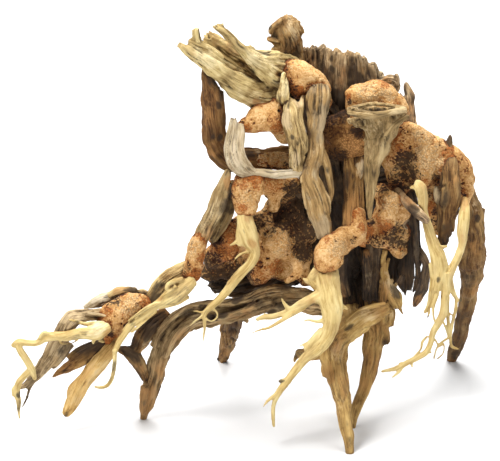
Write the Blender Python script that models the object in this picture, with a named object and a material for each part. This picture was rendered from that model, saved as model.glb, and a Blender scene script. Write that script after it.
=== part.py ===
"""Driftwood root: weathered wood pieces joined by mounds of sawdust filler.

Places are given as (across, up, back, half width) in millimetres. Across and up lie on a board that
leans away from the viewer by LEAN, and back is the distance behind its lower edge.
"""

import math

import bmesh
import bpy
from mathutils import Vector, noise

LEAN = math.radians(20)  # the board leans back by this much
METRE = 0.001  # one millimetre in metres
GAP = 0.34  # clearance left between neighbouring pieces
STEP = 8.5  # usual distance between the rings of a limb
FINE = 7.0  # the same for thin rootlets
LUMP = 0.16  # how far a limb's width wanders, as a share of it
MOUND_VOXEL = 2.6  # cell size in which the balls of a mound are fused
MOUND_ROUGH = 1.1  # how far the surface of a mound wanders
OVERLAP_MOST = 0.001  # cubic millimetres of overlap left between two pieces
CLEAR_MOST = 1.2  # the widest clearance tried to get there
SHRINK_MOST = 0.7  # a recut that would leave less than this share of a piece is dropped

INTO = Vector((0, math.cos(LEAN), -math.sin(LEAN)))

# Across, top, bottom, back and thickness of each column of the fluted slab
SLAB_COLUMNS = [
    (30, 244, 209.5, 97, 8),
    (33.5, 247, 206, 93, 11),
    (36.5, 245.5, 203.5, 97, 12),
    (42.5, 247, 200, 93, 14),
    (46, 244, 198.5, 97, 12),
    (51, 245, 197.5, 93, 15),
    (56.5, 242.5, 197.5, 97, 13),
    (62, 243, 200, 93, 15),
    (66.5, 242, 201, 98, 13),
    (71, 238, 202, 94, 13),
    (75, 236, 204.5, 98, 11),
    (78, 230, 207, 95, 10),
    (81, 226, 209.5, 99, 9),
    (84, 224, 212, 98, 7),
]

CREAM = (0.83, 0.66, 0.34)
STRAW = (0.66, 0.47, 0.24)
GREY = (0.27, 0.21, 0.13)
BROWN = (0.17, 0.10, 0.05)
TAN = (0.40, 0.27, 0.13)
DARK = (0.05, 0.04, 0.035)
SAWDUST = (0.62, 0.32, 0.16)


def board(across, up, back):
    """World position, in millimetres, of a place on the leaning board."""
    rise = (up - back * math.sin(LEAN)) / math.cos(LEAN)
    return Vector((across, back, rise))


def smooth(route, step):
    """Points along a soft curve through the route, each with its half width."""
    spots = [(board(*place[:3]), place[3]) for place in route]
    ends = [spots[0]] + spots + [spots[-1]]
    found = []
    for a, b, c, d in zip(ends, ends[1:], ends[2:], ends[3:]):
        parts = max(1, round((c[0] - b[0]).length / step))
        for i in range(parts):
            t = i / parts
            weights = (
                (-t + 2 * t**2 - t**3) / 2,
                (2 - 5 * t**2 + 3 * t**3) / 2,
                (t + 4 * t**2 - 3 * t**3) / 2,
                (-(t**2) + t**3) / 2,
            )
            spot = sum((w * p[0] for w, p in zip(weights, (a, b, c, d))), Vector())
            found.append((spot, b[1] + (c[1] - b[1]) * t))
    found.append(spots[-1])
    return found


def closed_mesh(points, faces):
    """A new object holding one closed mesh, given in millimetres."""
    data = bpy.data.meshes.new("draft")
    data.from_pydata([tuple(point * METRE) for point in points], [], faces)
    tidy = bmesh.new()
    tidy.from_mesh(data)
    bmesh.ops.recalc_face_normals(tidy, faces=tidy.faces)
    bmesh.ops.triangulate(tidy, faces=tidy.faces)
    tidy.to_mesh(data)
    tidy.free()
    made = bpy.data.objects.new("draft", data)
    bpy.context.scene.collection.objects.link(made)
    return made


def loft(rings, first, last):
    """Closed skin over rings of equal length, with a point beyond each end."""
    sides = len(rings[0])
    points = [point for ring in rings for point in ring] + [first, last]
    faces = []
    for k in range(len(rings) - 1):
        for i in range(sides):
            j = (i + 1) % sides
            low = k * sides
            faces.append((low + i, low + j, low + sides + j, low + sides + i))
    top = (len(rings) - 1) * sides
    for i in range(sides):
        j = (i + 1) % sides
        faces.append((j, i, len(points) - 2))
        faces.append((top + i, top + j, len(points) - 1))
    return closed_mesh(points, faces)


def limb(route, sides=8, depth=0.85, step=STEP, flutes=0, seed=0.0, crown=0.35):
    """A limb whose outline, seen square to the board, follows the half widths of its route.

    Crown is how far the first end bulges, as a share of its half width.
    """
    stations = smooth(route, step)
    last = len(stations) - 1
    rings = []
    side = Vector((1, 0, 0))
    for k, (spot, half) in enumerate(stations):
        ahead = (stations[min(k + 1, last)][0] - stations[max(k - 1, 0)][0]).normalized()
        across = ahead.cross(INTO)
        if across.length > 0.2:
            side = across.normalized()
        deep = side.cross(ahead).normalized()
        ring = []
        for i in range(sides):
            turn = 2 * math.pi * (i + 0.5 * (k % 2) * (not flutes)) / sides
            place = Vector((math.cos(turn), math.sin(turn), 0.35 * k + seed))
            wide = 1 + LUMP * noise.noise(place * 1.7)
            if flutes:
                wide += 0.13 * math.cos(flutes * turn)
            ring.append(
                spot
                + side * (half * wide * math.cos(turn))
                + deep * (half * depth * wide * math.sin(turn))
            )
        rings.append(ring)
    start, end = stations[0], stations[last]
    first = start[0] + (start[0] - stations[1][0]).normalized() * start[1] * crown
    final = end[0] + (end[0] - stations[last - 1][0]).normalized() * end[1] * 0.6
    return loft(rings, first, final)


def twig(route, **options):
    """A thin rootlet: few sides, round, with closer rings."""
    return limb(route, sides=5, depth=0.95, step=FINE, **options)


def evaluated(made):
    """Replaces the object's mesh by what its modifiers make of it."""
    graph = bpy.context.evaluated_depsgraph_get()
    data = bpy.data.meshes.new_from_object(made.evaluated_get(graph))
    made.modifiers.clear()
    made.data = data
    return made


def combine(made, other, operation, solver="EXACT"):
    """Joins or cuts one object with another and removes the other."""
    boolean = made.modifiers.new("join", "BOOLEAN")
    boolean.operation = operation
    boolean.solver = solver
    boolean.object = other
    evaluated(made)
    bpy.data.objects.remove(other)
    return made


def fused(trunk, *branches):
    """One piece out of a trunk and the branches sunk into it."""
    for branch in branches:
        combine(trunk, branch, "UNION")
    return trunk


def cut(made, *cutters):
    """The object without the room that each cutter takes up."""
    for cutter in cutters:
        combine(made, cutter, "DIFFERENCE")
    return made


def copied(made):
    """A second object with its own copy of the mesh."""
    other = bpy.data.objects.new("copy", made.data.copy())
    bpy.context.scene.collection.objects.link(other)
    return other


def swollen(made, by):
    """A copy grown outwards by a distance in millimetres."""
    other = copied(made)
    body = bmesh.new()
    body.from_mesh(other.data)
    bmesh.ops.remove_doubles(body, verts=body.verts, dist=0.02 * METRE)
    body.normal_update()
    moves = [vert.normal * by * METRE for vert in body.verts]
    for vert, move in zip(body.verts, moves):
        vert.co += move
    body.to_mesh(other.data)
    body.free()
    return other


def bounds(made):
    """The lowest and highest corner of the object's mesh."""
    spots = [vert.co for vert in made.data.vertices]
    low = Vector(min(spot[axis] for spot in spots) for axis in range(3))
    high = Vector(max(spot[axis] for spot in spots) for axis in range(3))
    return low, high


def near(one, two):
    """Whether the boxes of two objects come within a gap of each other."""
    (low, high), (under, over) = bounds(one), bounds(two)
    return all(
        low[axis] <= over[axis] + GAP * METRE and under[axis] <= high[axis] + GAP * METRE
        for axis in range(3)
    )


def volume_of(data):
    """Cubic millimetres inside a closed mesh."""
    body = bmesh.new()
    body.from_mesh(data)
    volume = abs(body.calc_volume()) / METRE**3
    body.free()
    return volume


def shared_volume(one, two):
    """Cubic millimetres that two objects have in common."""
    common = combine(copied(one), copied(two), "INTERSECT")
    volume = volume_of(common.data)
    bpy.data.objects.remove(common)
    return volume


def cleared(made, finished):
    """Cuts the piece again, a little wider, wherever it still reaches into a finished one."""
    for other in finished:
        grown = GAP
        while near(made, other) and grown < CLEAR_MOST and shared_volume(made, other) > OVERLAP_MOST:
            grown *= 1.5
            before = made.data.copy()
            cut(made, swollen(other, grown))
            if volume_of(made.data) < volume_of(before) * SHRINK_MOST:
                made.data = before
    return made


def largest_body(made):
    """Drops every loose crumb that the cuts left, so that one body stays."""
    body = bmesh.new()
    body.from_mesh(made.data)
    bmesh.ops.remove_doubles(body, verts=body.verts, dist=0.002 * METRE)
    bmesh.ops.dissolve_degenerate(body, edges=body.edges, dist=0.002 * METRE)
    left = set(body.verts)
    groups = []
    while left:
        front = [left.pop()]
        group = []
        while front:
            vert = front.pop()
            group.append(vert)
            for edge in vert.link_edges:
                other = edge.other_vert(vert)
                if other in left:
                    left.remove(other)
                    front.append(other)
        groups.append(group)
    groups.sort(key=lambda group: span(group), reverse=True)
    crumbs = [vert for group in groups[1:] for vert in group]
    bmesh.ops.delete(body, geom=crumbs, context="VERTS")
    bmesh.ops.triangulate(body, faces=body.faces)
    body.to_mesh(made.data)
    body.free()
    return made


def span(group):
    """A rough size of a group of vertices, to tell a piece from a crumb."""
    low = [min(vert.co[axis] for vert in group) for axis in range(3)]
    high = [max(vert.co[axis] for vert in group) for axis in range(3)]
    return math.dist(low, high) + 1e-6 * len(group)


def mound(balls, share=0.17, seed=0.0):
    """A lumpy mound of filler fused out of balls (across, up, back, radius)."""
    body = bmesh.new()
    for across, up, back, radius in balls:
        ball = bmesh.ops.create_icosphere(body, subdivisions=2, radius=radius * METRE)
        bmesh.ops.translate(body, verts=ball["verts"], vec=board(across, up, back) * METRE)
    data = bpy.data.meshes.new("draft")
    body.to_mesh(data)
    body.free()
    made = bpy.data.objects.new("draft", data)
    bpy.context.scene.collection.objects.link(made)
    remesh = made.modifiers.new("fuse", "REMESH")
    remesh.mode = "VOXEL"
    remesh.voxel_size = MOUND_VOXEL * METRE
    soft = made.modifiers.new("soft", "SMOOTH")
    soft.iterations = 3
    evaluated(made)
    for vert in made.data.vertices:
        place = vert.co / METRE
        bump = noise.noise(place * 0.16 + Vector((seed, 0, 0)))
        vert.co += vert.normal * bump * MOUND_ROUGH * METRE
    fewer = made.modifiers.new("fewer", "DECIMATE")
    fewer.ratio = share
    return evaluated(made)


def split_log():
    """The hollow log at the upper left, broken open at its left end."""
    body = limb(
        [(-33, 246, 42, 8.4), (-24.5, 240, 47, 12), (-11.5, 231.5, 54, 13.5), (2, 224, 62, 15),
         (12.5, 219, 70, 15),
         (22, 216.5, 78, 9.6)],
        sides=14, flutes=7, seed=1.0,
    )
    lip = limb([(-28, 236, 42, 4.2), (-35.5, 240.5, 39, 3.9), (-41.5, 244, 38, 2.7),
                (-45, 242.5, 38, 1.2)], sides=6, step=FINE)
    splinter = limb([(-14, 245.5, 50, 3.6), (-17.5, 252.5, 47, 2.4),
                     (-19, 257.5, 46, 1)], sides=6, step=FINE)
    rim = limb([(-22, 245.5, 46, 3.6), (-26.5, 251, 43, 3), (-30, 251.5, 42, 1.2)], sides=6, step=FINE)
    sheet = limb([(9, 214, 56, 6), (8, 224, 56, 6.6), (8, 233.5, 60, 6.6),
                  (11.5, 240.5, 68, 4.8)], sides=8, depth=0.5)
    hollow = limb([(-41.5, 254, 32, 5.4), (-30, 246.5, 35, 5.4), (-14.5, 237.5, 41, 5.7),
                   (-4, 230.5, 47, 4.8), (4, 224.5, 53, 1.8)],
                  sides=8)
    return cut(fused(body, lip, splinter, rim, sheet), hollow)


def top_knob():
    """The hooded knob that stands highest."""
    body = limb(
        [(24, 225, 88, 9.6), (21.5, 234.5, 88, 9), (20.5, 242, 86, 9), (20, 250, 84, 10.2),
         (20.5, 258.5, 84, 8.4),
         (20.5, 264, 84, 4.8)],
        sides=10, flutes=5, seed=2.0,
    )
    lip = limb([(17.5, 246.5, 84, 3.6), (11, 248, 82, 2.4), (7, 248.5, 82, 1.2)], sides=6, step=FINE)
    brow = limb([(23.5, 254, 82, 4.8), (28, 254, 80, 3.6), (30, 248, 80, 2.4)], sides=6, step=FINE)
    return fused(body, lip, brow)


def fluted_slab():
    """The dark upright slab with ragged top and vertical ridges, and the curled knob at its end."""
    columns = SLAB_COLUMNS
    rings = []
    for across, top, bottom, back, thick in columns:
        middle = (top + bottom) / 2
        front = back - thick / 2
        rear = back + thick / 2
        rings.append([
            board(across - 4, bottom, front + 2), board(across - 2, middle, front),
            board(across, top, front + 2), board(across, top - 2, rear - 2),
            board(across - 2, middle, rear), board(across - 4, bottom, rear - 2),
        ])
    first = board(columns[0][0] - 3, columns[0][1] - 14, columns[0][3])
    last = board(columns[-1][0] + 3, columns[-1][1] - 8, columns[-1][3])
    body = loft(rings, first, last)
    curl = limb([(79, 214, 98, 4.2), (83.5, 219, 96, 4.8), (86, 224, 95, 3),
                 (86.5, 228.5, 95, 1.2)], sides=7, step=FINE)
    return fused(body, curl)


def right_horn():
    """The forked horn at the upper right."""
    body = limb(
        [(93.5, 184, 74, 5.4), (94, 194, 79, 5.4), (94, 203.5, 84, 4.8), (93.5, 212, 86, 3.9),
         (93, 221.5, 88, 1.8)],
        sides=8, seed=4.0,
    )
    prong = limb([(92.5, 203.5, 84, 3), (90, 210.5, 84, 2.1), (89, 218, 84, 1.1)], sides=6, step=FINE)
    return fused(body, prong)


def left_bow():
    """The brown hook that hangs from the log and turns inwards behind the loop."""
    return limb(
        [(-30, 231.5, 52, 1.8), (-27.5, 224, 52, 4.8), (-25, 212, 52, 7.2), (-23.5, 198.5, 54, 7.5),
         (-21.5, 186, 57, 7.8),
         (-15, 177, 61, 7.8), (-4, 176, 66, 7.2), (7, 177, 71, 6.6), (20, 180, 80, 6)],
        sides=9, seed=5.0,
    )


def loop_branch():
    """The pale branch that comes down in front of the bow and turns right as a level bar."""
    return limb(
        [(-8.5, 201, 50, 3), (-11, 194, 44, 3.6), (-12, 187, 40, 4.8), (-11.5, 180.5, 37, 6),
         (-9.5, 174.5, 37, 6),
         (-4, 170, 38, 4.8), (5.5, 167.5, 40, 3.6), (16, 167, 43, 3.6), (29.5, 167, 47, 3)],
        sides=8, seed=6.0,
    )


def crumpled_stem():
    """The pale twisted stem between the head filler and the level bar."""
    main = limb(
        [(21.5, 216.5, 60, 4.2), (21.5, 207, 54, 5.4), (24, 197.5, 50, 6.6), (26.5, 186.5, 48, 6.6),
         (26.5, 177, 48, 6.6),
         (24, 168.5, 50, 5.4), (21.5, 161.5, 54, 4.2)],
        sides=8, flutes=4, seed=7.0,
    )
    sheet = limb([(30, 216.5, 62, 3), (33.5, 207, 56, 3.6), (32.5, 196, 52, 3),
                  (29, 184, 49, 3)], sides=6)
    return fused(main, sheet)


def centre_root():
    """The long brown root down the middle."""
    body = limb(
        [(39, 224, 66, 4.8), (39.5, 215, 61, 6.6), (39, 204.5, 56, 6), (38, 195, 54, 4.8),
         (36.5, 185, 52, 4.8),
         (35, 176, 50, 5.4), (33.5, 167, 48, 5.4), (36, 158, 46, 7.2), (38, 149, 43, 7.8),
         (41, 140.5, 40, 6.6),
         (43, 130, 36, 4.8)],
        sides=9, seed=8.0,
    )
    strip = limb([(34, 165, 46, 3.6), (32, 155.5, 43, 3), (32.5, 144.5, 41, 1.2)], sides=6, step=FINE)
    return fused(body, strip)


def inner_stem():
    """The stem to the right of the dark gap, coated with filler lower down."""
    return limb(
        [(60, 180.5, 70, 4.8), (60, 168.5, 66, 5.4), (60.5, 156.5, 61, 5.4), (60, 144.5, 55, 6),
         (58, 132.5, 48, 6),
         (56.5, 122, 42, 4.8)],
        sides=8, seed=9.0,
    )


def funnel_root():
    """The wide-mouthed root that narrows to a long point, with a slot in its rim."""
    body = limb(
        [(75, 207, 50, 18), (75, 201.5, 49, 16.8), (74, 195.5, 47, 12), (74, 188, 46, 9),
         (72.5, 180, 46, 7.2),
         (72, 172, 46, 6), (71, 164, 46, 4.5), (71, 154, 46, 3.3), (70, 146, 46, 2.1),
         (70, 140.5, 46, 1.2)],
        sides=12, depth=0.62, seed=10.0, crown=0.04,
    )
    mouth = limb([(74, 214, 50, 12), (74.5, 207, 50, 12), (74.5, 202, 49, 8.4),
                  (74, 198.5, 48, 4.2)], sides=8,
                 depth=0.3, crown=0.0)
    return cut(body, mouth)


def cone_branch():
    """The brown branch through the shoulder, a dark peak above it and narrowing below it."""
    return limb(
        [(119, 191.5, 66, 0.9), (118, 185, 65, 3), (119, 177, 62, 6), (119, 168.5, 60, 7.2),
         (119, 159, 58, 6.6), (117.5, 149, 56, 6), (116, 138.5, 54, 4.8),
         (114, 129, 52, 3.6), (113, 123, 52, 1.8)],
        sides=8, seed=11.0,
    )


def comb_rootlet():
    """The cream rootlets at the right, which meet in a comb of fine points."""
    left = twig([(96, 166, 46, 1.8), (98.5, 159, 44, 3), (101.5, 149.5, 42, 3), (104.5, 138.5, 40, 3.3),
                 (108, 128, 38, 4.2), (111, 118, 37, 5.4), (113, 108.5, 36, 6), (113.5, 99, 36, 4.8)])
    right = twig([(128, 154, 56, 2.4), (126.5, 146, 50, 3.9), (125.5, 135, 44, 3.9),
                  (123.5, 124, 39, 3.9),
                  (119.5, 114.5, 37, 3.6), (116, 105, 36, 3.6)])
    outer = twig([(111, 113.5, 37, 3.6), (108, 104, 36, 2.4), (106, 93, 36, 1.8), (102.5, 83, 36, 0.9)])
    middle = twig([(113.5, 102.5, 36, 4.8), (113, 90.5, 36, 2.7), (111, 81, 36, 2.4),
                   (107, 71.5, 36, 2.1),
                   (103, 62, 36, 1.9), (95.5, 54.5, 36, 1.8), (86, 50.5, 36, 1.5), (76, 48, 36, 0.9)])
    heel = twig([(90.5, 52, 36, 1.4), (84.5, 45, 35, 0.8)])
    inner = twig([(117, 102.5, 37, 4.2), (120, 93, 38, 3), (119.5, 82, 39, 1.9), (118, 71.5, 40, 1.6),
                  (122, 61, 41, 0.8)])
    spur = twig([(119, 94, 38, 2.1), (125, 91, 38, 0.8)])
    spider = twig([(113.5, 88, 36, 1.8), (114.5, 78.5, 37, 1.4), (116.5, 69, 38, 1.2),
                   (112, 62.5, 38, 1),
                   (110, 55, 38, 0.7)])
    return fused(left, right, outer, middle, heel, inner, spur, spider)


def bridge_twig():
    """The short grey twig that crosses to the comb rootlets."""
    return limb([(86, 159, 64, 2.4), (91, 153.5, 58, 3), (96.5, 147, 50, 3), (102.5, 140, 43, 2.7),
                 (107, 133, 40, 1.8)], sides=7)


def right_leg():
    """The brown leg that runs back from the shoulder to the floor."""
    body = limb(
        [(128.5, 160, 74, 4.2), (132.5, 150.5, 80, 4.5), (134.5, 140, 87, 5.1), (134.5, 128, 94, 6.3),
         (134, 118, 100, 7.5),
         (133, 108.5, 108, 6.9), (132.5, 98, 117, 5.4), (131.5, 89, 125, 4.8), (129.5, 81, 132, 4.8),
         (128.5, 72.5, 139, 4.5), (126, 65, 146, 4.5), (123.5, 57.5, 151, 3.9), (122.5, 51, 157, 3)],
        sides=8, seed=12.0,
    )
    spur = limb([(135, 137.5, 88, 2.4), (138.5, 143, 87, 1.8),
                 (140.5, 146.5, 87, 0.8)], sides=5, step=FINE)
    return fused(body, spur)


def dark_curtain():
    """The dark hanging slab at the right of the belly."""
    return limb(
        [(94, 148, 66, 4.8), (96, 137.5, 67, 6.6), (96, 123, 67, 6.6), (95, 108.5, 66, 5.7),
         (95, 97, 65, 3.6)],
        sides=8, depth=0.5, seed=13.0,
    )


def dark_stub():
    """The pointed dark stub below the comb rootlets' left edge."""
    return limb([(98.5, 122, 66, 3.6), (102.5, 111.5, 62, 3.9), (102, 100, 57, 3.9),
                 (98.5, 90.5, 55, 2.1),
                 (96, 86, 54, 0.9)], sides=7)


def black_stem():
    """The blackened stem under the right of the belly."""
    return limb([(72.5, 130, 64, 4.8), (72, 118, 62, 5.4), (72.5, 104, 60, 4.8),
                 (71.5, 92, 58, 4.8)], sides=8, seed=14.0)


def sinew_plate():
    """The yellow-brown plate that widens towards the wedge."""
    body = limb([(80, 120.5, 62, 3), (80.5, 111, 59, 3), (81, 101.5, 57, 4.2), (84.5, 93, 56, 6.6),
                 (86, 86.5, 56, 4.8)], sides=8, depth=0.6)
    spike = limb([(88, 90.5, 56, 3), (89.5, 86.5, 55, 1.8), (90, 82, 55, 0.7)], sides=5, step=FINE)
    return fused(body, spike)


def front_pale_root():
    """The pale root at the front, with its left arm and the long thin end."""
    trunk = limb(
        [(43, 114.5, 34, 7.8), (43, 107, 29, 8.4), (44.5, 98, 24, 8.4), (45.5, 89.5, 20, 8.4),
         (47.5, 82, 17, 6),
         (45.5, 74.5, 15, 5.4), (42.5, 68, 14, 5.4), (36.5, 61, 12, 4.8), (30, 55, 11, 3.3),
         (24.5, 48.5, 10, 3),
         (20, 42.5, 9, 2.7), (15.5, 36.5, 8, 2.4), (12.5, 29.5, 8, 1.7), (12, 22, 8, 1.4),
         (12.5, 15.5, 8, 1.1)],
        sides=8, step=FINE, seed=15.0,
    )
    flap = limb([(39, 106, 27, 3.6), (34, 105, 25, 3.6), (30.5, 102.5, 25, 1.8)], sides=6, step=FINE)
    arm = limb([(41.5, 93.5, 21, 5.4), (33.5, 90, 19, 3.9), (26.5, 86, 18, 3), (18.5, 83.5, 18, 2.4),
                (11, 81.5, 18, 2.1), (2, 80, 18, 1.5)], sides=7, step=FINE)
    thorn = twig([(21, 84.5, 18, 2.1), (17.5, 93.5, 17, 0.8)])
    lower = twig([(29, 86.5, 17, 2.1), (21, 81, 15, 1.8), (11.5, 75, 14, 1.6), (-1, 72, 14, 0.9)])
    side = twig([(17, 38, 8, 2), (11, 33, 7, 1.4), (6, 27.5, 7, 0.8)])
    spur = twig([(51, 88, 19, 3), (57, 87, 18, 1.2)])
    return fused(trunk, flap, arm, thorn, lower, side, spur)


def front_leg():
    """The front leg with the wedge-shaped plank that it grows from."""
    leg = limb(
        [(52, 68, 40, 9), (50.5, 60, 34, 9.6), (49, 52, 28, 7.5), (50.5, 44, 22, 6.9),
         (53, 34, 16, 6), (54.5, 24.5, 11, 5.1), (56, 15, 7, 4.2), (57.5, 6.5, 4, 3.6),
         (58, -3, -1, 2.7)],
        sides=8, seed=16.0,
    )
    wedge = limb([(83, 86.5, 48, 3.6), (75, 84, 46, 5.4), (65.5, 79, 43, 7.2), (56, 72.5, 40, 7.8),
                  (47.5, 64, 37, 6)], sides=8, depth=0.55)
    butt = limb([(54.5, 70, 42, 7.2), (57, 78.5, 54, 7.8), (58, 86, 68, 7.8)], sides=8)
    ear = limb([(45, 62, 37, 4.8), (36.5, 57.5, 38, 3.6), (29.5, 57.5, 39, 3),
                (24.5, 59, 40, 1.8)], sides=6,
               depth=0.5)
    return fused(leg, wedge, butt, ear)


def right_inner_leg():
    """The leg behind the front leg, at its right."""
    body = limb(
        [(74, 84.5, 62, 7.8), (74, 75.5, 59, 8.4), (73, 67, 57, 7.8), (72, 59, 54, 6),
         (71, 50, 51, 5.1),
         (68.5, 41, 48, 4.2), (66.5, 33, 45, 3.9), (63.5, 26, 43, 3.3), (61, 18.5, 41, 2.4),
         (60, 11.5, 42, 1.8)],
        sides=8, seed=17.0,
    )
    spur = limb([(76, 70, 56, 3.6), (80.5, 66.5, 55, 2.1), (81.5, 63, 55, 0.9)], sides=5, step=FINE)
    return fused(body, spur)


def long_arm_root():
    """The heavy grey root that runs left and turns down to the floor."""
    body = limb(
        [(51, 89.5, 66, 6.6), (39, 89.5, 60, 7.2), (22, 92.5, 60, 7.8), (7, 91, 61, 8.7),
         (-8, 86.5, 60, 8.7), (-23, 84, 56, 8.7), (-38, 80.5, 52, 8.4), (-48, 73, 49, 7.8),
         (-54.5, 63, 48, 6.6), (-59.5, 52, 49, 5.7), (-62.5, 41, 51, 6), (-65, 30, 53, 4.5),
         (-66.5, 21, 55, 2.7), (-67, 15, 57, 2.1)],
        sides=9, seed=18.0,
    )
    notch = limb([(-30, 86.5, 36, 2.4), (-30, 86.5, 52, 1.8)], sides=6)
    return cut(body, notch)


def back_leg():
    """The leg behind the long arm, the rearmost foot."""
    return limb(
        [(6.5, 112, 82, 6.6), (-2, 100, 90, 6.3), (-8.5, 89, 103, 6.3), (-12.5, 78.5, 118, 6.3),
         (-14.5, 70, 130, 6), (-16, 62, 143, 5.1), (-18.5, 54.5, 152, 3.6), (-20, 50, 159, 3)],
        sides=8, seed=19.0,
    )


def drop_rootlet():
    """The cream rootlet that hangs from the column filler and forks in front of the long arm."""
    stem = twig([(-5.5, 149.5, 42, 4.8), (-5, 142, 39, 6), (-3.5, 132.5, 37, 6.6),
                 (0.5, 123.5, 35, 4.2),
                 (-2, 113, 33, 3.3), (-9, 105, 32, 3.1), (-15, 98, 31, 2.6), (-18.5, 92.5, 30, 2.4),
                 (-24.5, 87.5, 30, 2), (-29, 83.5, 30, 1.8), (-29, 75.5, 30, 1.3), (-30, 67, 30, 0.7)])
    flap = twig([(-6, 140, 38, 3.6), (-10, 131.5, 36, 2.7), (-14, 124, 35, 1.2)])
    hook = twig([(-0.5, 123, 34, 2.1), (-6, 119.5, 33, 1.6), (-11.5, 116, 32, 0.8)])
    fork = twig([(-28, 84.5, 30, 1.6), (-33, 80, 30, 1.2), (-38, 76, 29, 0.7)])
    upper = twig([(-27, 85, 30, 1.4), (-32.5, 84, 30, 1.1), (-36, 85, 29, 0.7)])
    return fused(stem, flap, hook, fork, upper)


def left_forearm():
    """The branch from the loop down to the elbow."""
    return limb(
        [(-13, 171, 42, 2.4), (-15.5, 161.5, 40, 4.2), (-18, 152, 40, 5.4), (-21.5, 144, 40, 5.4),
         (-26, 136, 40, 5.7),
         (-30.5, 128.5, 40, 6), (-34, 122, 40, 4.8)],
        sides=8, seed=20.0,
    )


def bark_forearm():
    """The grey bark piece from the elbow to the arm filler."""
    return limb([(-34, 113.5, 44, 4.2), (-44, 108, 44, 5.4), (-52, 104, 43, 6), (-59.5, 97, 42, 4.8),
                 (-66, 90.5, 40, 3.6)], sides=8, seed=21.0)


def pale_fan_root():
    """The pale fan below the elbow, which narrows to a strip with a hanging twig."""
    fan = limb(
        [(-33.5, 104, 36, 4.2), (-40, 99.5, 34, 6.6), (-47.5, 95.5, 32, 7.2), (-55, 90, 31, 4.8),
         (-63.5, 83, 29, 3),
         (-72, 75, 28, 2.7), (-79, 67, 27, 2.4), (-83.5, 59.5, 26, 1.8)],
        sides=8, depth=0.55, step=FINE, seed=22.0,
    )
    hanger = twig([(-83, 62, 26, 1.9), (-84, 52, 26, 1.6), (-85, 44, 26, 1.3), (-89.5, 39, 26, 1.1),
                   (-95.5, 39, 26, 0.8)])
    return fused(fan, hanger)


def arm_block():
    """The small weathered block on top of the arm filler."""
    return limb([(-85, 93.5, 43, 2.4), (-80, 96.5, 43, 3.6), (-71.5, 97, 43, 3.3),
                 (-63, 95.5, 43, 2.4)], sides=7)


def grey_upper_arm():
    """The short grey piece above the knee."""
    return limb([(-105.5, 84, 42, 2.4), (-99, 89, 42, 3.9), (-90.5, 93.5, 42, 3.9),
                 (-83.5, 97, 44, 2.4)], sides=7,
                depth=0.7, seed=23.0)


def grey_knee_root():
    """The grey root that bends at the knee and ends at the far left."""
    body = limb(
        [(-84.5, 84, 38, 4.2), (-93, 82, 36, 4.8), (-102, 80, 34, 5.4), (-110, 75.5, 32, 6),
         (-115, 67, 31, 6),
         (-120.5, 59, 30, 5.4), (-126.5, 51, 30, 5.1), (-132.5, 44, 30, 3.6), (-137.5, 39.5, 30, 2.4),
         (-143, 38.5, 30, 1.2)],
        sides=8, seed=24.0,
    )
    point = twig([(-132.5, 42.5, 30, 2.4), (-136, 35, 30, 1.6), (-138.5, 27, 30, 0.8)])
    return fused(body, point)


def pale_zigzag_root():
    """The cream root that zigzags in front of the knee."""
    upper = limb(
        [(-86, 76, 28, 3.6), (-93.5, 73, 25, 5.4), (-101.5, 71.5, 24, 4.8), (-110, 70, 24, 3),
         (-119.5, 69.5, 23, 2.7),
         (-128, 66.5, 23, 2.7), (-135.5, 66, 23, 3.3), (-143, 67, 23, 2.1)],
        sides=7, step=FINE, seed=25.0,
    )
    shin = twig([(-141.5, 67, 23, 2.4), (-138.5, 61, 22, 2.7), (-134.5, 54, 22, 2.5),
                 (-131.5, 45.5, 22, 1.5)])
    toe = twig([(-133, 51, 22, 2.1), (-138, 44, 21, 2.4), (-141.5, 36.5, 21, 2.3), (-142, 29, 21, 1.8),
                (-140.5, 20, 21, 1)])
    top = twig([(-90, 77, 28, 2.4), (-99, 78.5, 27, 2), (-108.5, 80, 27, 1.1)])
    return fused(upper, shin, toe, top)


def brown_wedge_root():
    """The pointed brown root behind the knee."""
    return limb([(-84.5, 68, 40, 3.6), (-93, 63.5, 38, 4.8), (-101.5, 57.5, 37, 4.8), (-111, 51, 36, 3),
                 (-121, 45, 36, 0.9)], sides=7, seed=26.0)


def tan_finger_root():
    """The blunt tan root that points at the floor on the left."""
    return limb(
        [(-81, 70, 34, 3.6), (-86.5, 62.5, 33, 4.5), (-92.5, 54.5, 33, 4.8), (-99, 45.5, 32, 5.1),
         (-105.5, 36, 32, 4.8),
         (-110.5, 27.5, 31, 3.9), (-113, 22, 31, 2.4)],
        sides=8, seed=27.0,
    )


def arm_strut():
    """The brown strut between the arm filler and the long arm, with its rear part."""
    strut = limb([(-82, 64, 42, 4.2), (-76, 60, 43, 5.4), (-70, 54, 44, 5.1),
                  (-66, 45.5, 46, 2.4)], sides=8,
                 depth=0.6)
    rear = limb([(-52, 78.5, 50, 4.2), (-60.5, 76, 48, 5.4), (-66.5, 69, 46, 5.4),
                 (-71.5, 60.5, 45, 4.2)], sides=8,
                depth=0.6)
    return fused(strut, rear)


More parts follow.
